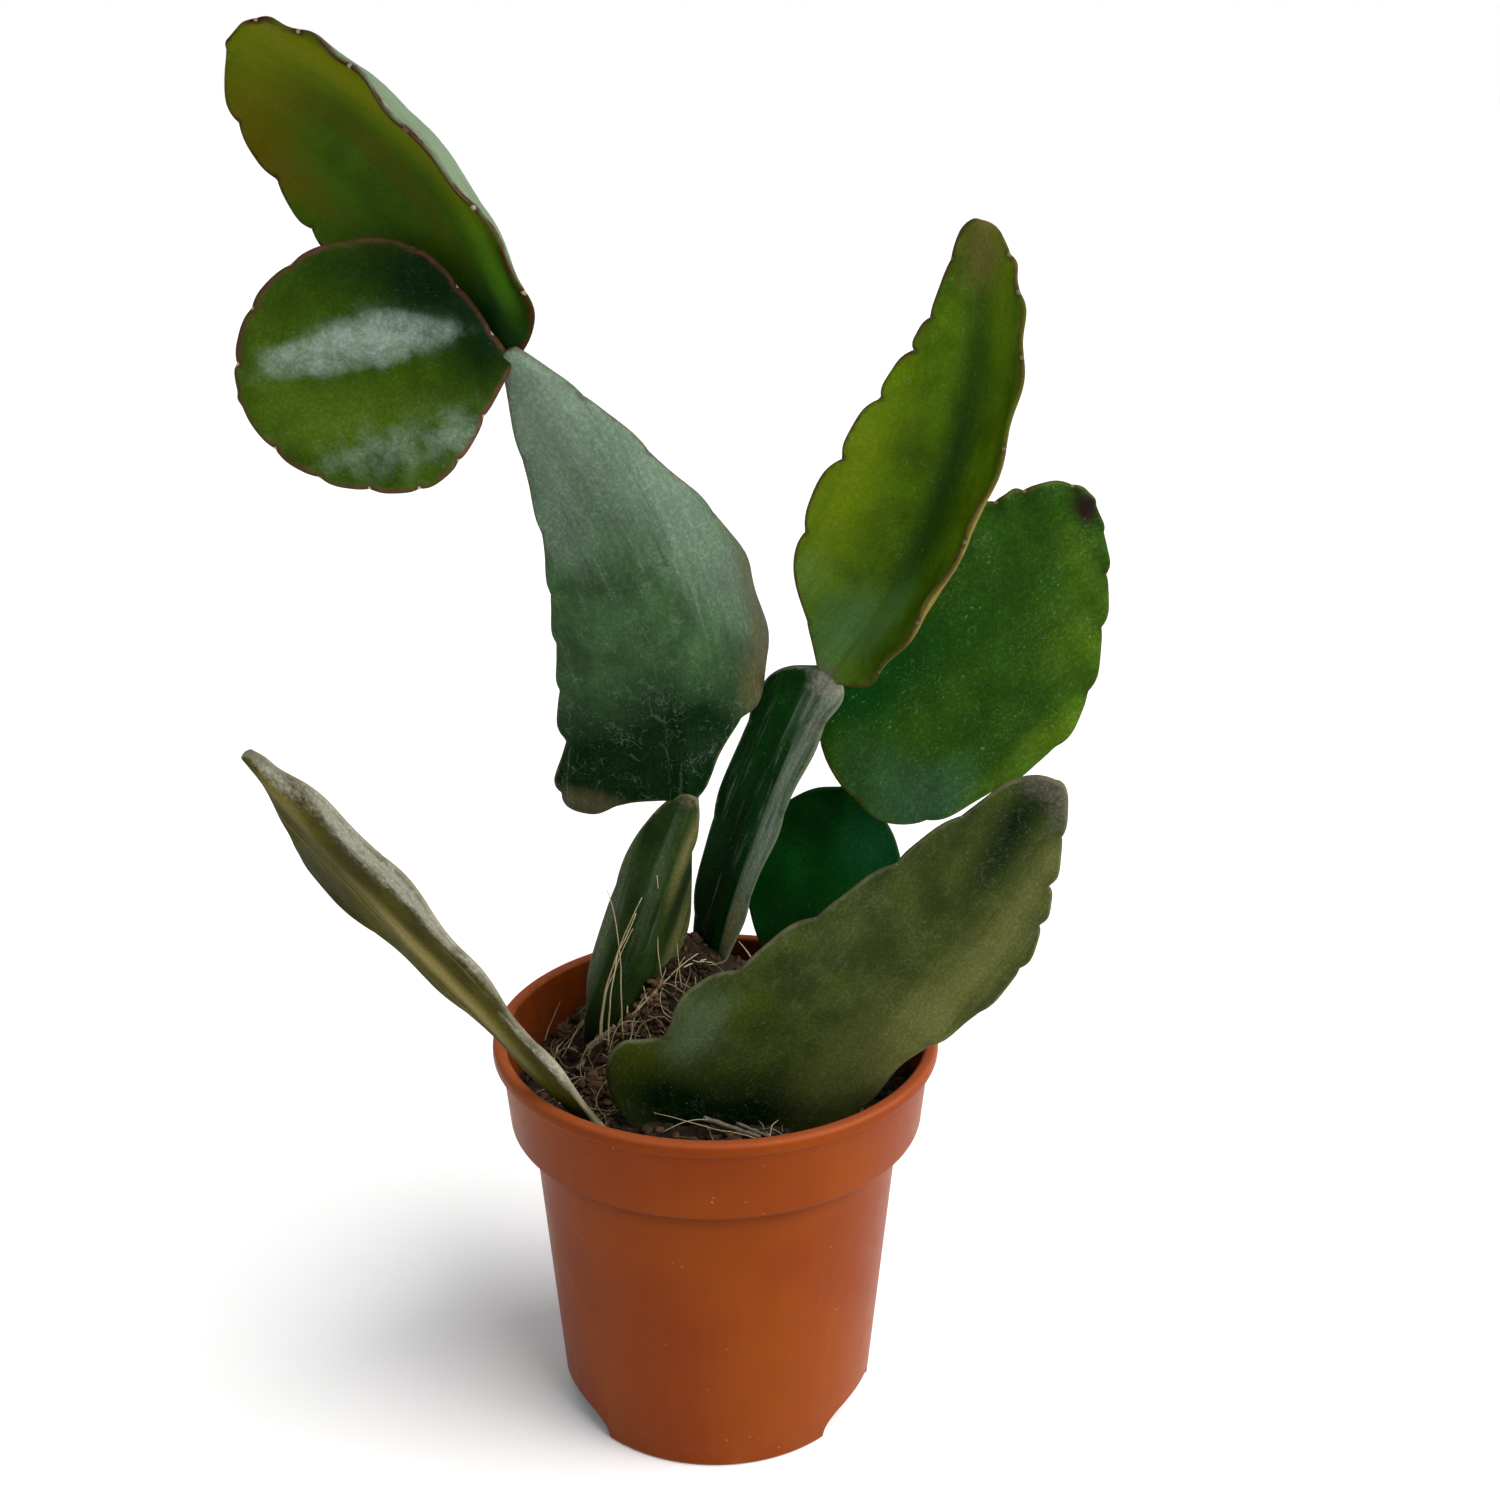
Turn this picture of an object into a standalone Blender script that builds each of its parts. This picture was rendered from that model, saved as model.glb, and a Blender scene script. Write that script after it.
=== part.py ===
"""Potted rhipsalis: a plastic nursery pot, its root ball and ten flat stem segments, called pads.

Lengths are in millimetres and angles in degrees until a mesh is made, which is in metres.
The origin is the centre of the pot's underside. +Z is up and -Y is the side that faces a viewer.
"""
import math
import random

import bmesh
import bpy
import numpy as np
from mathutils import Vector, noise
from mathutils.bvhtree import BVHTree

MM = 0.001
GAP = 0.3                       # clearance between pieces that touch

# Pot
POT_HEIGHT = 96.0
LIP_RADIUS = 52.5
LIP_HEIGHT = 3.2
LIP_INNER_RADIUS = 49.4
COLLAR_HEIGHT = 21.0
COLLAR_TOP_RADIUS = 50.6
COLLAR_FOOT_RADIUS = 48.9
BODY_TOP_RADIUS = 43.9
FOOT_RADIUS = 37.5
CORNER = 0.8                    # rounding of the foot, the step under the collar and the lip
WALL = 1.3
FLOOR = 1.8
POT_STEPS = 60
DRAIN_ANGLES = (-64.0, 64.0, 180.0)     # from the side that faces a viewer
DRAIN_WIDTH = 27.0
DRAIN_HEIGHT = 6.5
DRAIN_DEPTH = 7.0
DRAIN_SQUARENESS = 0.75         # 1 is half an ellipse, and less has fuller shoulders
DRAIN_ARCH_STEPS = 10
CUTTER_MARGIN = 3.0             # how far a cutter stands proud of what it cuts

# Root ball
SOIL_LEVEL = 80.5
SOIL_EDGE_DROP = 1.0
SOIL_MOUNDS = (                 # x, y, height, spread
    (-10.0, 25.0, 25.0, 13.0),
    (-20.0, 9.0, 9.0, 10.0),
    (18.0, 30.0, 10.0, 13.0),
)
SOIL_LUMPS = ((1.4, 9.0), (0.7, 4.0))    # height, size
SOIL_CORNER = 1.2
SOIL_RINGS = 11
SOIL_STEPS = 40

# Fibres and twigs of the root ball
FIBRE_SEED = 13
FIBRE_RADIUS = 0.45
FIBRE_SIDES = 3
FIBRE_POINTS = 6
FIBRE_SINK = 2.5
FIBRE_CLEARANCE = 1.4
FIBRE_LEAN = 0.5                # how far a standing fibre leans over towards its tip
STANDING_TILT = (8.0, 30.0)
LYING_TILT = (68.0, 80.0)
SHORTEST_FIBRE = 0.65           # as a share of its tuft's length
TWIG_SIDES = 5
TUFTS = (                       # x, y, spread, count, length, whether it stands up
    (-23.0, 6.0, 5.0, 7, 28.0, True),
    (-14.0, 18.0, 7.0, 7, 22.0, False),
    (-4.0, 26.0, 6.0, 4, 16.0, False),
    (4.0, -24.0, 10.0, 6, 20.0, False),
)
TWIGS = (                       # one end, the other end, radius
    ((-30.0, -7.0, 83.0), (-17.0, 2.0, 92.0), 1.3),
    ((-5.0, -27.0, 79.5), (13.0, -22.0, 82.5), 1.0),
)

# Pads
EDGE_HALF = 0.6                 # half of the thickness at the margin
BODY_HALF = 1.0                 # and in the middle of each wing
RIB_HALF = 0.5                  # added along the midrib
RIB_WIDTH = 3.0
NECK_HALF_WIDTH = 1.5
NODE_HALF_WIDTH = 2.3           # a tip that carries other pads is a swollen node
NODE_SWELL = 1.5
NODE_LENGTH = 5.0
NODE_WIDTH = 4.0
TIP_HALF_WIDTH = 1.2
MIDRIB_SOFTNESS = 2.5
FLAT_END = 7.0                  # a wing's fold starts this far from the base and from the tip
NOTCHES_FROM = 0.12             # the notches grow in and fade out over these shares of the margin
NOTCHES_TO = 0.05
ROWS_PER_LOBE = 6
COLUMNS = 3                     # per wing

# Each pad runs from its base to its tip. Its front faces along azimuth (0 is -Y, positive towards
# +X) and elevation. left and right are the outlines of the two wings, as seen from the front with the
# tip up: points along the midrib from the base, and out from it. fold tilts a wing towards the front
# at the midrib, and curl bends it further over the distance reach. arch and sway bow the midrib
# towards the front and towards the right.
PADS = {
    "left_stem": dict(
        base=(-34, 4, 68), tip=(-6, 12, 151), facing=(0, 5), fold=(-35, -50),
        lobes=3, notch=0.7, node=True,
        left=[(14, 3.5), (22, 7), (30, 9.3), (40, 11), (53, 12), (64, 11.5), (75, 9.5), (84, 5)],
        right=[(14, 4), (24, 10), (40, 16), (53, 16.2), (63, 13.5), (74, 8.5), (83, 4.5)]),
    "left_middle": dict(
        base=(-7, 12, 149), tip=(-43, 5, 254), facing=(-8, 12), arch=5, sway=12,
        fold=(-6, -12), curl=(-12, -60), reach=25, lobes=6, notch=0.9, node=True,
        left=[(-2, 12), (-7.5, 22), (-8, 29), (-2, 31.5), (9, 30.2), (18, 31), (33, 29), (53, 25.6),
              (73, 19.8), (93, 13.2), (104, 7.5)],
        right=[(4, 5), (11, 8), (16.5, 15), (21, 26), (30, 32), (44, 30), (56, 25.5), (66, 19.5),
               (76, 14.5), (90, 9.5), (103, 5)]),
    "left_top": dict(
        base=(-42, 6, 253), tip=(-100.5, 20.4, 315.6), facing=(-5, -8), sway=12,
        fold=(5, 20), curl=(5, 69), reach=20, lobes=6, notch=0.6,
        left=[(12, 18), (28, 26), (46, 26.5), (58, 25), (68, 21.8), (78, 17.8), (84, 12.5), (86.7, 6)],
        right=[(10, 13), (27, 22), (47, 25), (66, 17), (77, 11), (84, 6)]),
    "left_round": dict(
        base=(-42.5, 3.5, 252), tip=(-97, -10, 247), facing=(-5, 10), sway=1.5,
        fold=(12, 12), lobes=7, notch=0.6,
        left=[(4, 8), (9.5, 16.5), (15, 22.5), (23, 25.8), (33, 24.6), (42, 21.5), (50, 15.2), (55, 7)],
        right=[(4, 8), (10, 17.5), (17, 25), (26, 27.7), (35, 27), (43, 23.5), (50, 17.3), (55, 8.5)]),
    "centre_stem": dict(
        base=(-4, 30, 84), tip=(26, 18, 179), facing=(-10, 8), sway=-3, fold=(-20, 50),
        lobes=4, notch=0.6, node=True,
        left=[(24, 9), (47, 12), (72, 13), (92, 12)],
        right=[(24, 6), (57, 8), (87, 8), (97, 6)]),
    "centre_tall": dict(
        base=(25, 17.5, 177.5), tip=(55, 8, 281), facing=(-8, 0), sway=11,
        fold=(5, 30), curl=(5, 60), reach=20, fade=0.4, lobes=7, notch=0.8,
        left=[(4.5, 7), (10, 13.5), (18, 21), (28, 24.6), (40, 25.8), (53, 24), (65, 21), (78, 15.5),
              (90, 9.8), (100, 6), (106.5, 3.2)],
        right=[(8, 12), (27, 24), (52, 25), (77, 20), (90, 15.3), (100, 9.6), (106.5, 4.5)]),
    "centre_round": dict(
        base=(25.5, 20.5, 177), tip=(88, 35.8, 215.4), facing=(5, -12), fold=(4, 0), curl=(4, 0),
        lobes=7, notch=0.8,
        left=[(10, 14), (30, 19), (54, 15.3), (63, 12.8), (69.5, 9), (73.8, 4.5)],
        right=[(-8, 10), (-10.5, 26), (-7, 42), (1, 50), (15, 53.5), (33, 54.3), (44, 52), (54, 44.8),
               (63, 33), (70, 21), (74, 9.5)]),
    "back_pad": dict(
        base=(19, 33, 84), tip=(31.7, 44.7, 139.7), facing=(0, 8), fold=(5, 5), lobes=4, notch=0.6,
        left=[(14, 12), (36, 20.4), (48, 16.6), (55.5, 9)],
        right=[(14, 12), (34, 20.2), (47, 16.3), (55, 9)]),
    "front_pad": dict(
        base=(14, -19, 71), tip=(75, -20, 166), facing=(4, 14), fold=(0, -4), curl=(5, -12),
        lobes=7, notch=0.8,
        left=[(-2, 16), (-10.5, 29), (-8, 37.5), (-4, 43), (1.5, 46.8), (7.5, 47), (12, 43.3), (16, 41),
              (20, 41), (25, 41.4), (32, 38.9), (40, 34.6), (52, 30.5), (62, 26), (73, 22), (87, 17.3),
              (98, 13), (107, 9.5), (111.7, 5)],
        right=[(22, 9), (36, 10), (44, 13), (50, 15.5), (60, 18.5), (72, 19.8), (82, 17.8), (92, 13.8),
               (100, 9.8), (107, 6), (111.5, 3)]),
    "side_pad": dict(
        base=(-15.5, -38, 79), tip=(-101.6, -13.4, 170.5), facing=(-38, -19), fold=(0, 0),
        lobes=5, notch=0.5,
        left=[(20, 4), (36, 5), (48, 7.3), (60, 9.4), (72, 12.3), (84, 15.6), (94, 18.5), (101, 18.2),
              (105.5, 15), (109, 10.8), (114, 8.2), (122, 4)],
        right=[(15, 3), (30, 6), (44, 7.5), (56, 10.2), (68, 12), (80, 14.5), (92, 14.5), (104, 13),
               (112, 10.9), (118, 8.6), (124.5, 4)]),
}
SEATS = {                       # the pads that each pad's neck is cut to fit round
    "left_middle": ("left_stem",),
    "left_top": ("left_middle",),
    "left_round": ("left_middle", "left_top"),
    "centre_tall": ("centre_stem",),
    "centre_round": ("centre_stem", "centre_tall"),
}
ROOTED = ("left_stem", "centre_stem", "back_pad", "front_pad", "side_pad")

COLOURS = {                     # base colour, roughness
    "pot": ((0.36, 0.10, 0.030), 0.42),
    "root_ball": ((0.035, 0.020, 0.012), 0.95),
    "left_stem": ((0.025, 0.060, 0.015), 0.50),
    "left_middle": ((0.040, 0.110, 0.055), 0.55),
    "left_top": ((0.060, 0.110, 0.006), 0.40),
    "left_round": ((0.025, 0.070, 0.008), 0.30),
    "centre_stem": ((0.030, 0.070, 0.025), 0.55),
    "centre_tall": ((0.090, 0.190, 0.010), 0.40),
    "centre_round": ((0.030, 0.140, 0.010), 0.45),
    "back_pad": ((0.008, 0.060, 0.010), 0.45),
    "front_pad": ((0.050, 0.085, 0.020), 0.50),
    "side_pad": ((0.110, 0.120, 0.020), 0.50),
}


def clear_scene():
    for obj in list(bpy.data.objects):
        bpy.data.objects.remove(obj, do_unlink=True)


def make_material(name):
    colour, roughness = COLOURS[name]
    material = bpy.data.materials.new(name)
    material.use_nodes = True
    shader = material.node_tree.nodes["Principled BSDF"]
    shader.inputs["Base Color"].default_value = (*colour, 1.0)
    shader.inputs["Roughness"].default_value = roughness
    shader.inputs["Metallic"].default_value = 0.0
    return material


def add_object(name, mesh, visible=True):
    obj = bpy.data.objects.new(name, mesh)
    bpy.context.scene.collection.objects.link(obj)
    if visible:
        mesh.materials.append(make_material(name))
        mesh.shade_smooth()
        mesh.set_sharp_from_angle(angle=math.radians(50))
    else:
        obj.hide_render = True
        obj.display_type = "WIRE"
    return obj


def mesh_from(name, points, faces):
    """a mesh from points in millimetres"""
    mesh = bpy.data.meshes.new(name)
    mesh.from_pydata([tuple(MM * c for c in p) for p in points], [], [tuple(f) for f in faces])
    mesh.validate()
    return mesh


def unit(vectors):
    return vectors / np.linalg.norm(vectors, axis=-1, keepdims=True)


# Pads
class PadSurface:
    """the middle surface of a pad: flat positions along and across the midrib, bent into place"""

    def __init__(self, pad):
        self.pad = pad
        self.base = np.array(pad["base"], float)
        self.chord = np.array(pad["tip"], float) - self.base
        self.length = float(np.linalg.norm(self.chord))
        along = self.chord / self.length
        azimuth, elevation = (math.radians(angle) for angle in pad["facing"])
        facing = np.array([math.sin(azimuth) * math.cos(elevation),
                           -math.cos(azimuth) * math.cos(elevation),
                           math.sin(elevation)])
        self.front = unit(facing - along * (facing @ along))
        self.side = np.cross(along, self.front)

    def midrib(self, t):
        bow = np.where(t < 0, 4 * t, np.where(t > 1, 4 * (1 - t), 4 * t * (1 - t)))
        bend = self.pad.get("arch", 0) * self.front + self.pad.get("sway", 0) * self.side
        return self.base + np.outer(t, self.chord) + np.outer(bow, bend)

    def axes(self, t):
        """directions to the front and to the right at positions t along the midrib"""
        step = 1e-3
        inside = np.clip(t, 0, 1)
        along = unit(self.midrib(inside + step) - self.midrib(inside - step))
        front = self.front - along * (along @ self.front)[:, None]
        front = unit(front)
        return front, np.cross(along, front)

    def bend(self, along, across):
        """points and front normals for arrays of flat positions; across is negative on the left wing"""
        t = along / self.length
        front, side = self.axes(t)
        is_right = across >= 0
        side = np.where(is_right[:, None], side, -side)
        fold = np.radians(np.where(is_right, *reversed(self.pad["fold"])))
        fold = fold * (1 + self.pad.get("fade", 0) * (1 - 2 * t))
        for end in (0, self.length):
            fold = fold * (1 - np.exp(-((along - end) / FLAT_END) ** 2))
        curl = np.radians(np.where(is_right, *reversed(self.pad.get("curl", (0, 0)))))
        rate = curl / self.pad.get("reach", 25)
        rate = np.where(np.abs(rate) < 1e-5, 1e-5, rate)
        out = np.abs(across)
        turned = fold + rate * out
        reach = np.sqrt(out ** 2 + MIDRIB_SOFTNESS ** 2)
        sideways = (np.sin(turned) - np.sin(fold)) / rate
        forward = (np.cos(fold) - np.cos(turned)) / rate
        forward = forward - np.sin(fold) * (out - reach + MIDRIB_SOFTNESS)
        rise = np.sin(turned) - np.sin(fold) * (1 - out / reach)
        normal = unit(front * np.cos(turned)[:, None] - side * rise[:, None])
        return self.midrib(t) + side * sideways[:, None] + front * forward[:, None], normal


def smooth_curve(points, samples_per_span=24):
    """a smooth curve through a few points, by cubic pieces with continuous slopes"""
    points = np.array(points, float)
    knots = np.concatenate([[0], np.cumsum(np.sqrt(np.linalg.norm(np.diff(points, axis=0), axis=1)))])
    steps = np.diff(knots)[:, None]
    slopes = np.diff(points, axis=0) / steps
    inner = (slopes[1:] * steps[:-1] + slopes[:-1] * steps[1:]) / (steps[:-1] + steps[1:])
    tangents = np.vstack([2 * slopes[0] - inner[0], inner, 2 * slopes[-1] - inner[-1]])
    curve = []
    for i, step in enumerate(steps[:, 0]):
        s = np.linspace(0, 1, samples_per_span, endpoint=False)[:, None]
        start = (2 * s ** 3 - 3 * s ** 2 + 1) * points[i] + (s ** 3 - 2 * s ** 2 + s) * step * tangents[i]
        end = (3 * s ** 2 - 2 * s ** 3) * points[i + 1] + (s ** 3 - s ** 2) * step * tangents[i + 1]
        curve.append(start + end)
    curve.append(points[-1:])
    return np.vstack(curve)


def wing_edge(pad, length, is_right, rows, extra):
    """positions along and out of a wing's margin, from base to tip, with the notches between lobes"""
    tip_width = NODE_HALF_WIDTH if pad.get("node") else TIP_HALF_WIDTH
    points = [(-extra, NECK_HALF_WIDTH + extra), *pad["right" if is_right else "left"],
              (length + extra, tip_width + extra)]
    curve = smooth_curve(points)
    run = np.concatenate([[0], np.cumsum(np.linalg.norm(np.diff(curve, axis=0), axis=1))])
    u = np.linspace(0, 1, rows + 1)
    along = np.interp(u, run / run[-1], curve[:, 0])
    out = np.interp(u, run / run[-1], curve[:, 1])
    phase = 0.5 if is_right else 0.0
    depth = pad["notch"] * (1 - np.abs(np.sin(math.pi * (u * pad["lobes"] + phase)))) ** 2
    depth = depth * np.clip(u / NOTCHES_FROM, 0, 1) * np.clip((1 - u) / NOTCHES_TO, 0, 1) - extra
    depth[0] = depth[-1] = 0
    tangent = unit(np.stack([np.gradient(along), np.gradient(out)], -1))
    return along + tangent[:, 1] * depth, out - tangent[:, 0] * depth


def half_thickness(pad, length, along, out, share):
    """half of the thickness at a flat position; share is 0 at the midrib and 1 at the margin"""
    thick = EDGE_HALF + (BODY_HALF - EDGE_HALF) * (1 - share ** 2)
    thick = thick + RIB_HALF * np.exp(-(out / RIB_WIDTH) ** 2)
    if pad.get("node"):
        near_tip = np.exp(-((length - along) / NODE_LENGTH) ** 2 - (out / NODE_WIDTH) ** 2)
        thick = thick + NODE_SWELL * near_tip
    return thick


def pad_mesh(name, extra=0.0):
    """a closed pad: a front and a back grid, joined by a rim; extra makes it larger all round"""
    pad = PADS[name]
    surface = PadSurface(pad)
    rows = ROWS_PER_LOBE * pad["lobes"]
    shares = np.linspace(-1, 1, 2 * COLUMNS + 1)
    left_along, left_out = wing_edge(pad, surface.length, False, rows, extra)
    right_along, right_out = wing_edge(pad, surface.length, True, rows, extra)
    spine = np.linspace(-extra, surface.length + extra, rows + 1)
    along = np.empty((rows + 1, len(shares)))
    across = np.empty_like(along)
    for column, share in enumerate(shares):
        edge_along, edge_out = (left_along, -left_out) if share < 0 else (right_along, right_out)
        along[:, column] = spine * (1 - abs(share)) + edge_along * abs(share)
        across[:, column] = edge_out * abs(share)
    middle, normal = surface.bend(along.ravel(), across.ravel())
    middle, normal = middle.reshape(rows + 1, -1, 3), normal.reshape(rows + 1, -1, 3)
    thick = half_thickness(pad, surface.length, along, np.abs(across), np.abs(shares)[None]) + extra
    front = middle + normal * thick[..., None]
    back = middle - normal * thick[..., None]
    return mesh_from(name, *grid_solid(front, back))


def grid_solid(front, back):
    """points and triangles of the closed body between two grids of the same size"""
    rows, columns = front.shape[0], front.shape[1]
    count = rows * columns
    points = np.concatenate([front.reshape(-1, 3), back.reshape(-1, 3)])
    faces = []
    for i in range(rows - 1):
        for j in range(columns - 1):
            a, b = i * columns + j, i * columns + j + 1
            c, d = a + columns, b + columns
            faces += [(a, b, d), (a, d, c)]
            faces += [(count + a, count + d, count + b), (count + a, count + c, count + d)]
    ring = [j for j in range(columns)]
    ring += [i * columns + columns - 1 for i in range(1, rows)]
    ring += [(rows - 1) * columns + j for j in range(columns - 2, -1, -1)]
    ring += [i * columns for i in range(rows - 2, 0, -1)]
    for a, b in zip(ring, ring[1:] + ring[:1]):
        faces += [(b, a, count + a), (b, count + a, count + b)]
    return points, faces


def cut(obj, cutter):
    """cuts one closed mesh by another

    The exact solver isn't used: it loses a pad whose neck lies along two cutters, and it leaves open
    edges on the pot and the root ball.
    """
    modifier = obj.modifiers.new("cut by " + cutter.name, "BOOLEAN")
    modifier.operation = "DIFFERENCE"
    modifier.solver = "MANIFOLD"
    modifier.object = cutter


def make_pads():
    """makes the pads; returns hidden larger copies, which cut a seat with a gap into what touches a pad"""
    pads = {name: add_object(name, pad_mesh(name)) for name in PADS}
    swollen = {}
    for name in {*ROOTED, *(seat for seats in SEATS.values() for seat in seats)}:
        swollen[name] = add_object(name + "_clearance", pad_mesh(name, extra=GAP), visible=False)
    for name, seats in SEATS.items():
        for seat in seats:
            cut(pads[name], swollen[seat])
    return swollen


# Pot
def lathe(name, profile, steps):
    """a closed turned body from its outline, points of radius and height, on the axis at both ends"""
    bm = bmesh.new()
    verts = [bm.verts.new((MM * r, 0, MM * z)) for r, z in profile]
    edges = [bm.edges.new(pair) for pair in zip(verts, verts[1:])]
    bmesh.ops.spin(bm, geom=verts + edges, cent=(0, 0, 0), axis=(0, 0, 1),
                   angle=2 * math.pi, steps=steps, use_merge=True)
    bmesh.ops.remove_doubles(bm, verts=bm.verts, dist=1e-6)
    bmesh.ops.recalc_face_normals(bm, faces=bm.faces)
    mesh = bpy.data.meshes.new(name)
    bm.to_mesh(mesh)
    bm.free()
    return mesh


def collar_foot():
    return POT_HEIGHT - COLLAR_HEIGHT


def inner_radius(z):
    """the inside of the pot's wall at a height"""
    if z >= collar_foot() + WALL:
        share = (z - collar_foot()) / (COLLAR_HEIGHT - LIP_HEIGHT)
        return COLLAR_FOOT_RADIUS + (COLLAR_TOP_RADIUS - COLLAR_FOOT_RADIUS) * share - WALL
    return FOOT_RADIUS + (BODY_TOP_RADIUS - FOOT_RADIUS) * z / collar_foot() - WALL


def pot_outline():
    lip_foot = POT_HEIGHT - LIP_HEIGHT
    step = collar_foot()
    outside = [
        (0, 0),
        (FOOT_RADIUS * 0.55, 0),
        (FOOT_RADIUS - CORNER, 0),
        (FOOT_RADIUS, CORNER),
        (BODY_TOP_RADIUS, step - CORNER),
        (BODY_TOP_RADIUS + CORNER, step),
        (COLLAR_FOOT_RADIUS - CORNER, step),
        (COLLAR_FOOT_RADIUS, step + CORNER),
        (COLLAR_TOP_RADIUS, lip_foot),
        (LIP_RADIUS - CORNER, lip_foot),
        (LIP_RADIUS, lip_foot + CORNER),
        (LIP_RADIUS, POT_HEIGHT - CORNER),
        (LIP_RADIUS - CORNER, POT_HEIGHT),
        (LIP_INNER_RADIUS + CORNER, POT_HEIGHT),
        (LIP_INNER_RADIUS, POT_HEIGHT - CORNER),
    ]
    inside = [
        (inner_radius(lip_foot), lip_foot),
        (inner_radius(step + WALL + CORNER), step + WALL + CORNER),
        (inner_radius(step + WALL) - CORNER, step + WALL),
        (inner_radius(step) + CORNER, step + WALL),
        (inner_radius(step), step + WALL - CORNER),
        (inner_radius(FLOOR + CORNER), FLOOR + CORNER),
        (inner_radius(FLOOR) - CORNER, FLOOR),
        (0, FLOOR),
    ]
    return outside + inside


def drain_prism(bm, angle):
    """an arched prism through the foot of the wall and the edge of the floor"""
    outline = [(-DRAIN_WIDTH / 2, -CUTTER_MARGIN)]
    for i in range(DRAIN_ARCH_STEPS + 1):
        turn = math.pi * i / DRAIN_ARCH_STEPS
        aside = math.copysign(abs(math.cos(turn)) ** DRAIN_SQUARENESS, math.cos(turn))
        rise = abs(math.sin(turn)) ** DRAIN_SQUARENESS
        outline.append((-DRAIN_WIDTH / 2 * aside, DRAIN_HEIGHT * rise))
    outline.append((DRAIN_WIDTH / 2, -CUTTER_MARGIN))
    centre = math.radians(angle)
    outward = Vector((math.sin(centre), -math.cos(centre), 0))
    sideways = Vector((math.cos(centre), math.sin(centre), 0))
    rings = []
    for radius in (FOOT_RADIUS + CUTTER_MARGIN, FOOT_RADIUS - DRAIN_DEPTH):
        spots = [outward * radius + sideways * x + Vector((0, 0, z)) for x, z in outline]
        rings.append([bm.verts.new(spot * MM) for spot in spots])
    bm.faces.new(rings[0])
    bm.faces.new(reversed(rings[1]))
    bmesh.ops.bridge_loops(bm, edges=[e for e in bm.edges if e.is_boundary])


def drain_mesh():
    bm = bmesh.new()
    for angle in DRAIN_ANGLES:
        drain_prism(bm, angle)
    bmesh.ops.recalc_face_normals(bm, faces=bm.faces)
    mesh = bpy.data.meshes.new("drains")
    bm.to_mesh(mesh)
    bm.free()
    return mesh


def make_pot():
    pot = add_object("pot", lathe("pot", pot_outline(), POT_STEPS))
    cut(pot, add_object("drains", drain_mesh(), visible=False))
    return pot


# Root ball
def soil_height(x, y):
    edge = inner_radius(SOIL_LEVEL)
    height = SOIL_LEVEL - SOIL_EDGE_DROP * (math.hypot(x, y) / edge) ** 6
    for mound_x, mound_y, rise, spread in SOIL_MOUNDS:
        height += rise * math.exp(-((x - mound_x) ** 2 + (y - mound_y) ** 2) / (2 * spread ** 2))
    for lump, size in SOIL_LUMPS:
        height += lump * noise.noise(Vector((x / size, y / size, size)))
    return height


def soil_mesh():
    """the root ball fills the pot, a gap inside its wall and floor"""
    shelf = collar_foot() + WALL + GAP
    top = inner_radius(SOIL_LEVEL) - GAP
    bm = bmesh.new()
    centre = bm.verts.new((0, 0, soil_height(0, 0)))
    rings = []
    for ring in range(1, SOIL_RINGS + 1):
        radius = top * ring / SOIL_RINGS
        turns = [2 * math.pi * (i + 0.5 * (ring % 2)) / SOIL_STEPS for i in range(SOIL_STEPS)]
        spots = [(radius * math.cos(a), radius * math.sin(a)) for a in turns]
        rings.append([bm.verts.new((x, y, soil_height(x, y))) for x, y in spots])
    wall = inner_radius(collar_foot()) - GAP
    walls = [
        (inner_radius(shelf + SOIL_CORNER) - GAP, shelf + SOIL_CORNER),
        (inner_radius(shelf) - SOIL_CORNER, shelf),
        (wall, shelf),
        (wall, shelf - SOIL_CORNER),
        (inner_radius(FLOOR + SOIL_CORNER) - GAP, FLOOR + GAP + SOIL_CORNER),
        (inner_radius(FLOOR) - SOIL_CORNER, FLOOR + GAP),
    ]
    for radius, z in walls:
        turns = [2 * math.pi * (i + 0.5 * (SOIL_RINGS % 2)) / SOIL_STEPS for i in range(SOIL_STEPS)]
        rings.append([bm.verts.new((radius * math.cos(a), radius * math.sin(a), z)) for a in turns])
    for i in range(SOIL_STEPS):
        bm.faces.new((centre, rings[0][i], rings[0][(i + 1) % SOIL_STEPS]))
    for number, (inner, outer) in enumerate(zip(rings, rings[1:])):
        shifted = number < SOIL_RINGS - 1
        for i in range(SOIL_STEPS):
            j = (i + 1) % SOIL_STEPS
            if not shifted:
                bm.faces.new((inner[i], outer[i], outer[j], inner[j]))
            elif number % 2 == 0:
                bm.faces.new((inner[i], outer[j], inner[j]))
                bm.faces.new((inner[i], outer[i], outer[j]))
            else:
                bm.faces.new((inner[i], outer[i], inner[j]))
                bm.faces.new((inner[j], outer[i], outer[j]))
    bm.faces.new(list(reversed(rings[-1])))
    bmesh.ops.triangulate(bm, faces=[f for f in bm.faces if len(f.verts) > 4])
    bmesh.ops.scale(bm, verts=bm.verts, vec=(MM, MM, MM))
    bmesh.ops.recalc_face_normals(bm, faces=bm.faces)
    mesh = bpy.data.meshes.new("root_ball")
    bm.to_mesh(mesh)
    bm.free()
    return mesh


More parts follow.
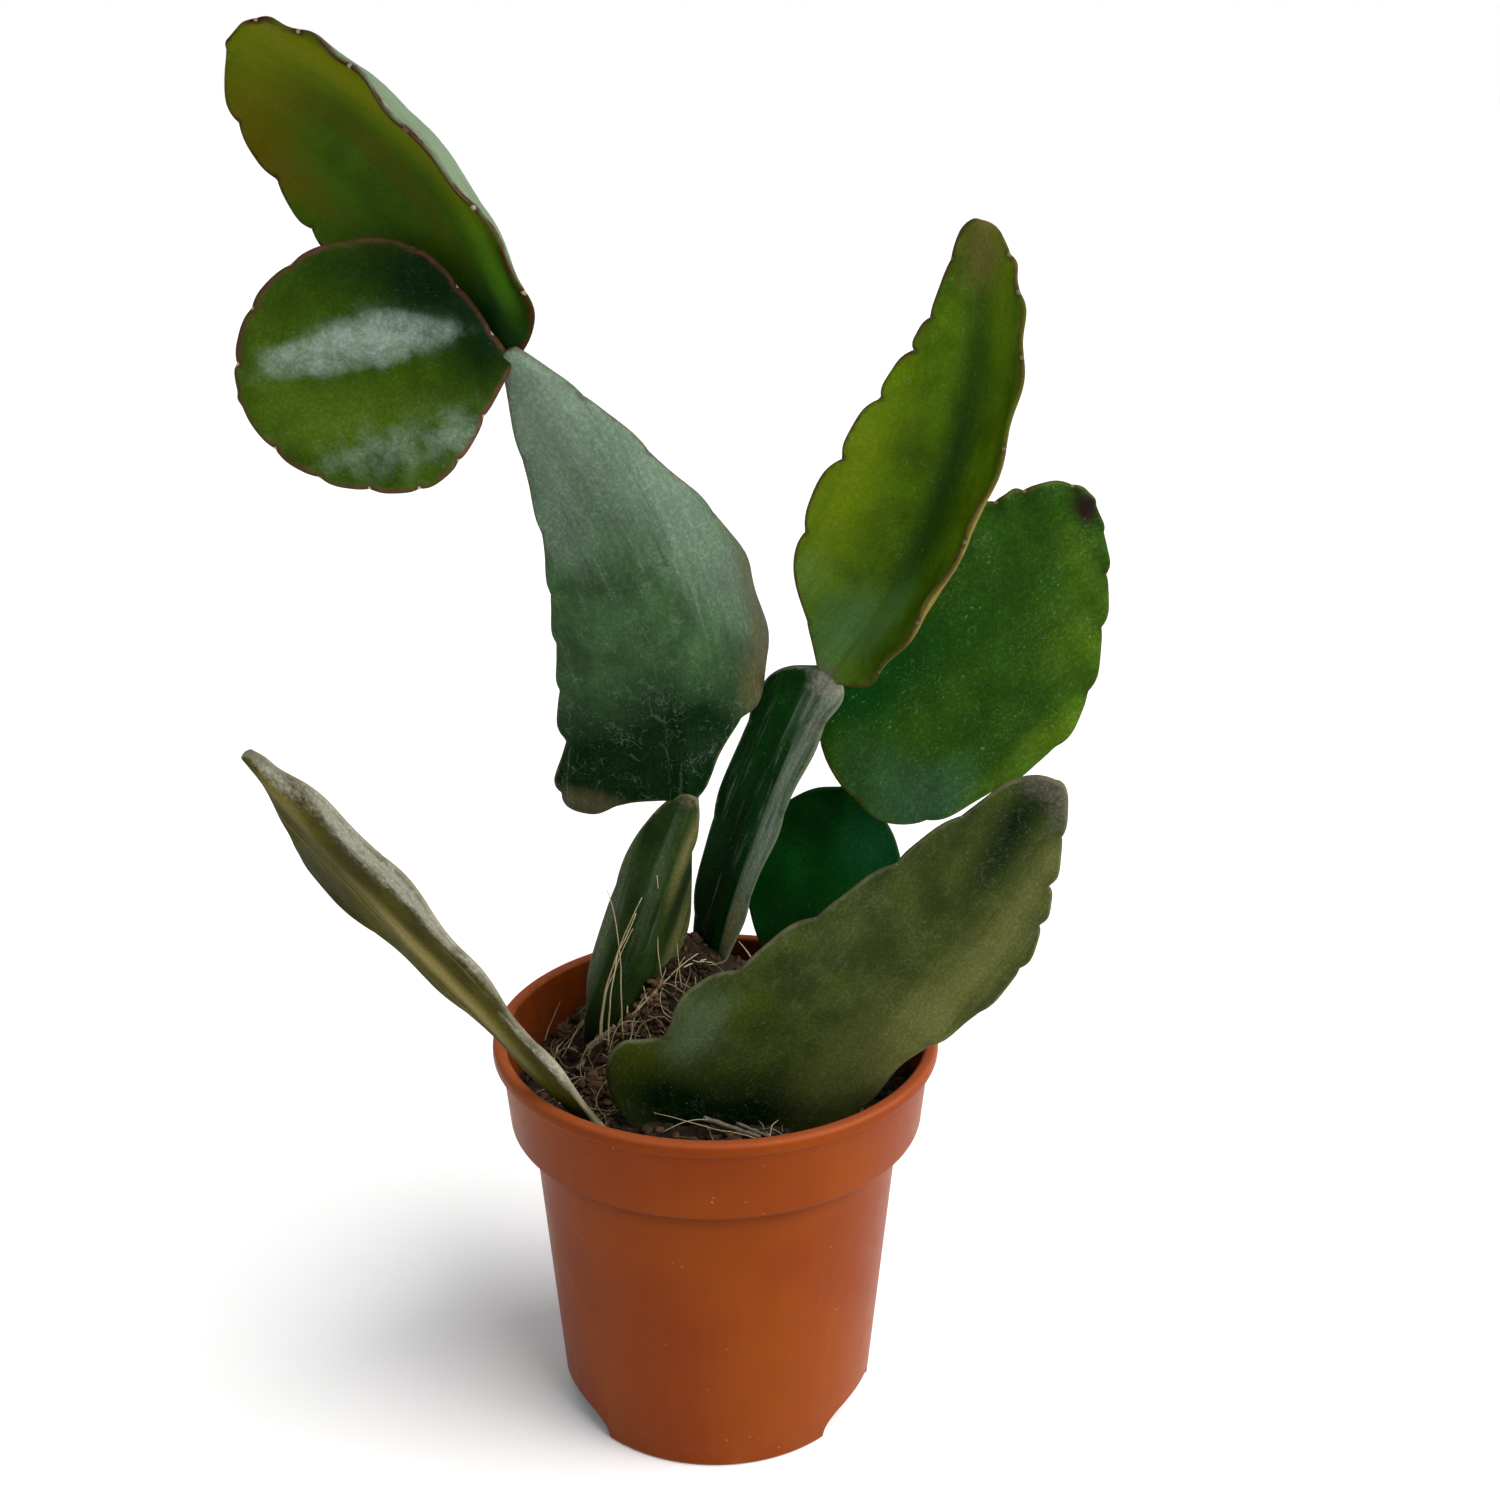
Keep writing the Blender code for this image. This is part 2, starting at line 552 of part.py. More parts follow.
def tube_mesh(name, path, radius, sides):
    """a thin closed tube along a path of points"""
    path = [Vector(point) for point in path]
    rings = []
    for i, point in enumerate(path):
        heading = (path[min(i + 1, len(path) - 1)] - path[max(i - 1, 0)]).normalized()
        across = heading.cross(Vector((0.3, 0.2, 1.0))).normalized()
        up = across.cross(heading)
        turns = [2 * math.pi * k / sides for k in range(sides)]
        rings.append([point + (across * math.cos(a) + up * math.sin(a)) * radius for a in turns])
    points = [spot for ring in rings for spot in ring]
    faces = [tuple(range(sides)), tuple(range(len(points) - 1, len(points) - sides - 1, -1))]
    for ring in range(len(rings) - 1):
        for k in range(sides):
            a, b = ring * sides + k, ring * sides + (k + 1) % sides
            faces.append((a, a + sides, b + sides, b))
    return mesh_from(name, points, faces)


def fibre_path(rng, x, y, length, stands):
    """a root fibre that starts in the soil and either stands free or bows back into the soil"""
    heading = rng.uniform(0, 2 * math.pi)
    tilt = math.radians(rng.uniform(*(STANDING_TILT if stands else LYING_TILT)))
    length *= rng.uniform(SHORTEST_FIBRE, 1.0)
    path = []
    for i in range(FIBRE_POINTS):
        run = i / (FIBRE_POINTS - 1)
        flat = length * math.sin(tilt) * (run + (FIBRE_LEAN * run ** 2 if stands else 0))
        spot_x, spot_y = x + flat * math.cos(heading), y + flat * math.sin(heading)
        if stands:
            z = soil_height(x, y) - FIBRE_SINK + length * math.cos(tilt) * run
        else:
            bow = math.sin(math.pi * run)
            z = soil_height(spot_x, spot_y) + FIBRE_RADIUS
            z += length * math.cos(tilt) * bow - FIBRE_SINK * (1 - bow) ** 2
        path.append((spot_x, spot_y, z))
    return path


def is_clear(path, obstacles):
    """whether a path stays inside the pot and away from the pads"""
    for i in range(len(path) - 1):
        for share in (0, 0.5, 1):
            point = Vector(path[i]).lerp(Vector(path[i + 1]), share)
            if math.hypot(point.x, point.y) > inner_radius(SOIL_LEVEL) - 2:
                return False
            if any(tree.find_nearest(point * MM, FIBRE_CLEARANCE * MM)[0] for tree in obstacles):
                return False
    return True


def make_fibres(swollen_pads):
    """a collection of root fibres and twigs on the soil"""
    rng = random.Random(FIBRE_SEED)
    obstacles = []
    for pad in swollen_pads.values():
        points = [vertex.co for vertex in pad.data.vertices]
        obstacles.append(BVHTree.FromPolygons(points, [face.vertices for face in pad.data.polygons]))
    collection = bpy.data.collections.new("fibres")
    bpy.context.scene.collection.children.link(collection)
    meshes = [tube_mesh("twig", [start, end], radius, TWIG_SIDES) for start, end, radius in TWIGS]
    for x, y, spread, count, length, stands in TUFTS:
        placed = 0
        while placed < count:
            path = fibre_path(rng, rng.gauss(x, spread), rng.gauss(y, spread), length, stands)
            if is_clear(path, obstacles):
                meshes.append(tube_mesh("fibre", path, FIBRE_RADIUS, FIBRE_SIDES))
                placed += 1
    for mesh in meshes:
        collection.objects.link(bpy.data.objects.new(mesh.name, mesh))
    return collection


def make_root_ball(swollen_pads):
    root_ball = add_object("root_ball", soil_mesh())
    fibres = make_fibres(swollen_pads)
    join = root_ball.modifiers.new("fibres", "BOOLEAN")
    join.operation = "UNION"
    join.solver = "MANIFOLD"
    join.operand_type = "COLLECTION"
    join.collection = fibres
    with bpy.context.temp_override(object=root_ball):
        bpy.ops.object.modifier_apply(modifier=join.name)
    for fibre in list(fibres.objects):
        bpy.data.objects.remove(fibre, do_unlink=True)
    bpy.data.collections.remove(fibres)
    for name in ROOTED:
        cut(root_ball, swollen_pads[name])
    return root_ball


def main():
    clear_scene()
    swollen_pads = make_pads()
    make_pot()
    make_root_ball(swollen_pads)


main()
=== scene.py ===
"""The looks of a potted rhipsalis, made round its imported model.

Lengths are in millimetres and angles in degrees until a mesh is made, which is in metres.
"""
import math
import random

import bmesh
import bpy
import numpy as np
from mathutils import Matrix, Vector, noise
from mathutils.bvhtree import BVHTree


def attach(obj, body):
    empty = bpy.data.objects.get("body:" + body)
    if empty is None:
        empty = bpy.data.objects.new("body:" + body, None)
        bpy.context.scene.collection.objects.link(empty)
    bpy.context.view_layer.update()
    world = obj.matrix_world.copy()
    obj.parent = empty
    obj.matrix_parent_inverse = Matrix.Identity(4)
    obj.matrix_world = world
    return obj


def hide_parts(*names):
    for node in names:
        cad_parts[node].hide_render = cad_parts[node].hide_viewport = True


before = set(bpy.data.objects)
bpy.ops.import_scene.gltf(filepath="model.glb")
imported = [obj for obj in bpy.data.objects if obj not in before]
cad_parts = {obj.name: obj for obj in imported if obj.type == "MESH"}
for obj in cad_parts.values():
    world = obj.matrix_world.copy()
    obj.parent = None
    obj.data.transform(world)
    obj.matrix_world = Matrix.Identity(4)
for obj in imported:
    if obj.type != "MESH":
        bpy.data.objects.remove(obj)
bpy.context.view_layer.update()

MM = 0.001

# Camera and light, placed in metres
CAMERA_PLACE = (0.0081, -0.4211, 0.3220)
CAMERA_PITCH = 20.3  # downwards
CAMERA_LENS = 48.0
CAMERA_SENSOR = 36.0
AIM = (0.0, 0.0, 0.17)
SOFTBOXES = {  # place, aim, width, height, watts, colour
    "right": ((1.1, -0.45, 0.55), AIM, 0.6, 0.9, 6.0, (1.0, 0.97, 0.93)),
    "window": ((-0.62, -1.05, 0.42), AIM, 0.40, 0.55, 2.0, (0.93, 0.97, 1.0)),
}
SUNS = {  # from where, strength, the angle that it fills, colour
    "large": ((0.74, -0.26, 0.62), 4.5, 75.0, (1.0, 0.985, 0.96)),
    "top": ((0, 0, 1), 0.7, 90.0, (1.0, 1.0, 1.0)),
}
HORIZON_COLOUR = (1.0, 1.0, 1.0)
SKY_COLOUR = (0.21, 0.215, 0.22)
HORIZON_HEIGHT = 0.20  # sine of the elevation where the horizon's glow ends
FLOOR_SIZE = 14.0
FLOOR_COLOUR = (0.93, 0.935, 0.94)

# Pot
POT_HEIGHT = 96.0
LIP_RADIUS = 52.5
LIP_HEIGHT = 3.2
LIP_INNER_RADIUS = 49.4
COLLAR_HEIGHT = 21.0
COLLAR_TOP_RADIUS = 50.6
COLLAR_FOOT_RADIUS = 48.9
BODY_TOP_RADIUS = 43.9
FOOT_RADIUS = 37.5
CORNER = 0.8
WALL = 1.3
FLOOR = 1.8
POT_STEPS = 240
CORNER_STEPS = 5
DRAIN_ANGLES = (-64.0, 64.0, 180.0)
DRAIN_WIDTH = 27.0
DRAIN_HEIGHT = 6.5
DRAIN_DEPTH = 7.0
DRAIN_SQUARENESS = 0.75  # 1 is half an ellipse, and less has fuller shoulders
DRAIN_ARCH_STEPS = 32
CUTTER_MARGIN = 3.0
SHARP_ANGLE = 50.0
POT_COLOURS = ((0.155, 0.025, 0.001), (0.178, 0.033, 0.001))
POT_TINTS = {  # amount, colour
    "upright": (0.10, (0.22, 0.046, 0.006)),
    "foot": (0.25, (0.20, 0.075, 0.03)),
    "specks": (0.5, (0.40, 0.20, 0.10)),
    # painted highlight: a lighter line along the top of the lip
    "lip_highlight": (0.4, (0.34, 0.090, 0.035)),
    # painted shade: a darker band on the body just under the collar's overhang
    "collar_shade": (0.5, (0.060, 0.009, 0.001)),
    "inside": (0.75, (0.055, 0.022, 0.012)),
}

# Soil
GAP = 0.3
SOIL_LEVEL = 80.5
SOIL_EDGE_DROP = 1.0
SOIL_MOUNDS = (  # x, y, height, spread
    (-10.0, 25.0, 25.0, 13.0),
    (-20.0, 9.0, 9.0, 10.0),
    (18.0, 30.0, 10.0, 13.0),
)
SOIL_LUMPS = ((1.4, 9.0), (0.7, 4.0))  # height, size
SOIL_CRUMBLE = ((0.9, 2.2), (0.5, 1.0))
RIM_ROOM = 1.5  # between loose matter and the pot's wall
CRUMB_SEED, FIBRE_SEED, TWIG_SEED = 4, 9, 2
CRUMB_COUNT = 1150
CRUMB_SIZE = (0.45, 1.5)
LUMPS = (  # x, y, radius, crumbs, shade from dark to light
    (-20.5, 11.0, 4.6, 90, 0.80), (-15.5, 9.5, 4.0, 70, 0.70), (-23.0, 6.5, 3.6, 50, 0.75),
    (-15.0, 5.0, 4.0, 70, 0.25), (-41.0, 27.0, 5.0, 90, 0.45), (-38.5, 20.0, 4.0, 60, 0.40),
    (-29.0, -5.0, 4.6, 80, 0.55), (-26.0, -10.0, 4.0, 60, 0.50), (-14.0, 20.0, 4.4, 70, 0.14),
    (-11.5, 15.0, 3.6, 50, 0.12), (-3.5, 17.0, 4.2, 50, 0.10), (4.0, -27.0, 4.0, 40, 0.40),
    (22.0, -30.0, 4.0, 40, 0.35), (-24.0, -2.0, 4.0, 60, 0.60),
)
LUMP_SPREAD = 0.42  # of a lump's radius
LUMP_HEIGHT = 0.55
FIBRE_COUNTS = ((150, 0.10, 0.20, 0.15, 0.55), (75, 0.12, 0.24, 0.45, 1.0))  # radii and shades
FIBRE_LENGTH = (8.0, 30.0)
FIBRE_CENTRES = (  # x, y, spread, share
    (-18.0, 10.0, 8.0, 0.38), (-38.0, 22.0, 6.0, 0.14), (-27.0, -6.0, 6.0, 0.14),
    (10.0, -27.0, 17.0, 0.20), (0.0, 0.0, 28.0, 0.14),
)
FIBRE_STEP = 1.6
STRAW_THICKNESS = 0.68
STRAW_SWAY = 0.25
STRAWS = (  # radius, and the points of a dry root that stands up
    (0.26, ((-25.2, 4, 130), (-23.2, 3, 122.5), (-22.4, 2, 115), (-22.2, 1, 107.7), (-22.2, 0.5, 93))),
    (0.30, ((-17, 3, 128.7), (-20.6, 2.4, 120.7), (-22.8, 1.8, 115), (-24.8, 1.2, 109.4), (-26.6, 0.6, 101.8),
            (-27.6, 0.5, 92))),
    (0.27, ((-18.4, 2, 125), (-20.8, 1.4, 119.2), (-22.8, 0.8, 114.8), (-24.1, 0.2, 108), (-24.8, -0.4, 103),
            (-25.6, -0.5, 91))),
    (0.25, ((-19.3, 4, 120), (-21.7, 3.2, 115.2), (-23.7, 2.5, 110), (-25.9, 1.8, 103.9), (-27.2, 1, 92))),
    (0.24, ((-13.7, 8, 132), (-13.4, 9, 125.7), (-13.8, 10, 117), (-13.7, 11, 109.8), (-13.1, 12.5, 100))),
    (0.28, ((-19.8, 12.5, 103), (-17.5, 10, 102), (-16.7, 8, 99.8), (-15.6, 6.5, 98), (-15.1, 3.5, 92))),
    (0.30, ((-20.9, 12, 101.5), (-21.3, 8.5, 100.5), (-20.9, 4.5, 92))),
    (0.42, ((-2.7, 19.5, 104.5), (-8.4, 14.5, 104.6), (-13.1, 10.5, 102.4), (-16.2, 8, 99.8),
            (-21.3, 4.8, 95), (-23.5, 3.4, 91))),
    (0.30, ((-4.5, 18.5, 106.5), (-9.5, 13.5, 105), (-14.5, 9, 101), (-18.5, 6, 97.5), (-20.5, 3, 92))),
    (0.28, ((-15.5, 9.5, 101.5), (-17.8, 7.4, 99.3), (-19.9, 5, 96), (-21.5, 3, 90))),
    (0.28, ((-39.5, 27, 89), (-41.2, 25, 85.5), (-42.4, 23, 83), (-43.3, 20, 79))),
    (0.22, ((-9.5, 12.5, 112), (-9, 12, 107), (-8.2, 12, 100))),
    (0.24, ((-7.6, 12, 109), (-9.6, 11, 104.5), (-9, 11.5, 98))),
    (0.30, ((5.2, 20, 109.2), (7.4, 18, 107.2), (9.6, 17, 104))),
    (0.22, ((-17, -17.5, 84.5), (-9, -21.5, 84.6), (-2, -23.5, 83.4), (5, -25.5, 83), (14, -27.5, 81))),
    (0.24, ((-12, -23.5, 82), (-4, -22.3, 84.5), (4, -23.4, 83.5), (10, -26.5, 80.5))),
    (0.26, ((15, -24.5, 82), (22, -26.8, 84), (30, -25, 83.6), (38, -21, 80.5))),
    (0.22, ((20, -28.5, 81.5), (28, -24.3, 85), (36, -20.5, 84.2), (42, -16, 80.5))),
)
WOOD = (  # radius at both ends, and the two ends of a dry twig
    (1.15, 0.8, (-30.3, 5, 87.6), (-24.2, 5.2, 94)), (0.7, 0.5, (-33, 0.5, 84.5), (-29, 4.6, 88.4)),
    (0.65, 0.4, (-2.5, -21.5, 84.4), (10.5, -26.2, 82.4)), (0.4, 0.3, (5, -23.2, 84.2), (15.5, -27.8, 82)),
    (0.45, 0.3, (24, -28.6, 82.2), (33.5, -26.2, 82.6)), (0.5, 0.35, (-15, 18.5, 107.4), (-10, 17.5, 106.6)),
)
TWIG_STEPS = 14
TWIG_SIDES = 10
SOIL_RINGS = 90
SOIL_STEPS = 360

# Pads
EDGE_HALF = 0.6
BODY_HALF = 1.0
RIB_HALF = 0.5
RIB_WIDTH = 3.0
NECK_HALF_WIDTH = 1.5
NODE_HALF_WIDTH = 2.3
NODE_SWELL = 1.5
NODE_LENGTH = 5.0
NODE_WIDTH = 4.0
TIP_HALF_WIDTH = 1.2
MIDRIB_SOFTNESS = 2.5
FLAT_END = 7.0
NOTCHES_FROM = 0.12
NOTCHES_TO = 0.05
ROW_LENGTH = 0.70  # of a wing's margin
WING_COLUMNS = 18
END_CROWDING = 0.09
END_BULGE = 0.3
EDGE_CROWDING = 1.7
EDGE_ROUND = 0.75  # the margin is rounded over this distance
VEIN_DEPTH = 0.22
MARGIN_WAVE = 0.55
RELIEF = ((0.35, 16.0), (0.14, 5.0), (0.05, 1.8))  # height, size
RELIEF_FROM = 2.5  # the relief grows in over this distance from the margin
VEIN_FROM = 0.2  # of a wing's width
WAVE_GROWTH = 6.0
BULGE_SPAN = 0.03  # the share of the length over which a tip rounds off
BACK_OFFSET = 70.0  # keeps the patterns of the two faces apart
PAD_OFFSET = 7.3  # and those of the pads
BLOCK = 4000  # places that are measured at a time

# Skin
UNEVEN, SPECKLE, SPECULAR = 0.25, 0.15, 0.03  # unless a pad's own look says otherwise
DUST_GAIN = 2.4  # how much lighter the dusty grain is
SPECKS = ((0.42, 0.60, 0.72, 12.0, 0.45), (0.9, 0.66, 0.74, 9.0, 0.7))  # size, range, area, amount
SCARS = ((6.0, 0.018), (3.4, 0.026))  # size, width
AREOLE_COLOUR = (0.32, 0.27, 0.18)

# Each pad's base, tip and facing (degrees to the right and upwards). Arch and sway bow its midrib to the
# front and the side. Fold and curl (degrees, left and right) bend its wings, and fade makes the fold
# shallower towards the tip. Left and right are the wings' outlines, as (along, out). Notches are (share
# of the margin, depth), or come from a number of even lobes. A node is a tip that carries other pads.
PADS = {
    "left_stem": dict(
        base=(-34, 4, 68), tip=(-6, 12, 151), facing=(0, 5), fold=(-35, -50), lobes=3, notch=0.7, node=True,
        left=[(14, 3.5), (22, 7), (30, 9.3), (40, 11), (53, 12), (64, 11.5), (75, 9.5), (84, 5)],
        right=[(14, 4), (24, 10), (40, 16), (53, 16.2), (63, 13.5), (74, 8.5), (83, 4.5)]),
    "left_middle": dict(
        base=(-7, 12, 149), tip=(-43, 5, 254), facing=(-8, 12), arch=5, sway=12, fold=(-6, -12),
        curl=(-12, -60), reach=25, node=True,
        notches=dict(
            left=[(0.1, 0.6), (0.222, 1.5), (0.321, 1.3), (0.43, 0.8), (0.53, 0.7), (0.63, 0.6), (0.74, 0.5),
                (0.86, 0.4)],
            right=[(0.05, 0.4), (0.168, 1.1), (0.3, 0.6), (0.45, 0.5), (0.6, 0.5), (0.75, 0.4), (0.88, 0.4)]),
        left=[(-2, 12), (-7.5, 22), (-8, 29), (-2, 31.5), (9, 30.2), (18, 31), (33, 29), (53, 25.6),
            (73, 19.8), (93, 13.2), (104, 7.5)],
        right=[(4, 5), (11, 8), (16.5, 15), (21, 26), (30, 32), (44, 30), (56, 25.5), (66, 19.5), (76, 14.5),
            (90, 9.5), (103, 5)]),
    "left_top": dict(
        base=(-42, 6, 253), tip=(-100.5, 20.4, 315.6), facing=(-5, -8), sway=12, fold=(5, 20), curl=(5, 69),
        reach=20,
        notches=dict(
            left=[(0.2, 0.5), (0.38, 0.7), (0.556, 1.1), (0.709, 1.1), (0.856, 1.1)],
            right=[(0.15, 0.4), (0.33, 0.4), (0.5, 0.4), (0.66, 0.35), (0.8, 0.25), (0.916, 0.15)]),
        left=[(12, 18), (28, 26), (46, 26.5), (58, 25), (68, 21.8), (78, 17.8), (84, 12.5), (86.7, 6)],
        right=[(10, 13), (27, 22), (47, 25), (66, 17), (77, 11), (84, 6)]),
    "left_round": dict(
        base=(-42.5, 3.5, 252), tip=(-97, -10, 247), facing=(-5, 10), sway=1.5, fold=(12, 12), lobes=7,
        notch=0.6,
        left=[(4, 8), (9.5, 16.5), (15, 22.5), (23, 25.8), (33, 24.6), (42, 21.5), (50, 15.2), (55, 7)],
        right=[(4, 8), (10, 17.5), (17, 25), (26, 27.7), (35, 27), (43, 23.5), (50, 17.3), (55, 8.5)]),
    "centre_stem": dict(
        base=(-4, 30, 84), tip=(26, 18, 179), facing=(-10, 8), sway=-3, fold=(-20, 50), lobes=4, notch=0.6,
        node=True,
        left=[(24, 9), (47, 12), (72, 13), (92, 12)],
        right=[(24, 6), (57, 8), (87, 8), (97, 6)]),
    "centre_tall": dict(
        base=(25, 17.5, 177.5), tip=(55, 8, 281), facing=(-8, 0), sway=11, fold=(5, 30), curl=(5, 60),
        reach=20, fade=0.4,
        notches=dict(
            left=[(0.108, 0.4), (0.31, 1.4), (0.497, 2.0), (0.648, 1.9), (0.759, 1.5), (0.825, 0.9),
                (0.93, 0.3)],
            right=[(0.15, 0.4), (0.3, 0.4), (0.46, 0.4), (0.62, 0.4), (0.76, 0.4), (0.861, 0.6),
                (0.923, 0.5)]),
        left=[(4.5, 7), (10, 13.5), (18, 21), (28, 24.6), (40, 25.8), (53, 24), (65, 21), (78, 15.5),
            (90, 9.8), (100, 6), (106.5, 3.2)],
        right=[(8, 12), (27, 24), (52, 25), (77, 20), (90, 15.3), (100, 9.6), (106.5, 4.5)]),
    "centre_round": dict(
        base=(25.5, 20.5, 177), tip=(88, 35.8, 215.4), facing=(5, -12), fold=(4, 0), curl=(4, 0),
        notches=dict(
            left=[(0.15, 0.5), (0.35, 0.6), (0.55, 0.6), (0.699, 1.0), (0.783, 1.0), (0.93, 0.4)],
            right=[(0.1, 0.5), (0.22, 0.6), (0.358, 1.1), (0.48, 0.7), (0.588, 0.8), (0.691, 1.1),
                (0.797, 1.1), (0.883, 0.9), (0.95, 0.4)]),
        left=[(10, 14), (30, 19), (54, 15.3), (63, 12.8), (69.5, 9), (73.8, 4.5)],
        right=[(-8, 10), (-10.5, 26), (-7, 42), (1, 50), (15, 53.5), (33, 54.3), (44, 52), (54, 44.8),
            (63, 33), (70, 21), (74, 9.5)]),
    "back_pad": dict(
        base=(19, 33, 84), tip=(31.7, 44.7, 139.7), facing=(0, 8), fold=(5, 5), lobes=4, notch=0.6,
        left=[(14, 12), (36, 20.4), (48, 16.6), (55.5, 9)],
        right=[(14, 12), (34, 20.2), (47, 16.3), (55, 9)]),
    "front_pad": dict(
        base=(14, -19, 71), tip=(75, -20, 166), facing=(4, 14), fold=(0, -4), curl=(5, -12),
        notches=dict(
            left=[(0.15, 0.4), (0.385, 2.4), (0.525, 1.8), (0.645, 1.4), (0.767, 1.4), (0.868, 0.7)],
            right=[(0.2, 0.4), (0.384, 0.6), (0.5, 0.4), (0.618, 1.0), (0.717, 1.4), (0.8, 1.6), (0.9, 0.6)]),
        left=[(-2, 16), (-10.5, 29), (-8, 37.5), (-4, 43), (1.5, 46.8), (7.5, 47), (12, 43.3), (16, 41),
            (20, 41), (25, 41.4), (32, 38.9), (40, 34.6), (52, 30.5), (62, 26), (73, 22), (87, 17.3),
            (98, 13), (107, 9.5), (111.7, 5)],
        right=[(22, 9), (36, 10), (44, 13), (50, 15.5), (60, 18.5), (72, 19.8), (82, 17.8), (92, 13.8),
            (100, 9.8), (107, 6), (111.5, 3)]),
    "side_pad": dict(
        base=(-15.5, -38, 79), tip=(-101.6, -13.4, 170.5), facing=(-38, -19), fold=(0, 0), lobes=5, notch=0.5,
        left=[(20, 4), (36, 5), (48, 7.3), (60, 9.4), (72, 12.3), (84, 15.6), (94, 18.5), (101, 18.2),
            (105.5, 15), (109, 10.8), (114, 8.2), (122, 4)],
        right=[(15, 3), (30, 6), (44, 7.5), (56, 10.2), (68, 12), (80, 14.5), (92, 14.5), (104, 13),
            (112, 10.9), (118, 8.6), (124.5, 4)]),
}
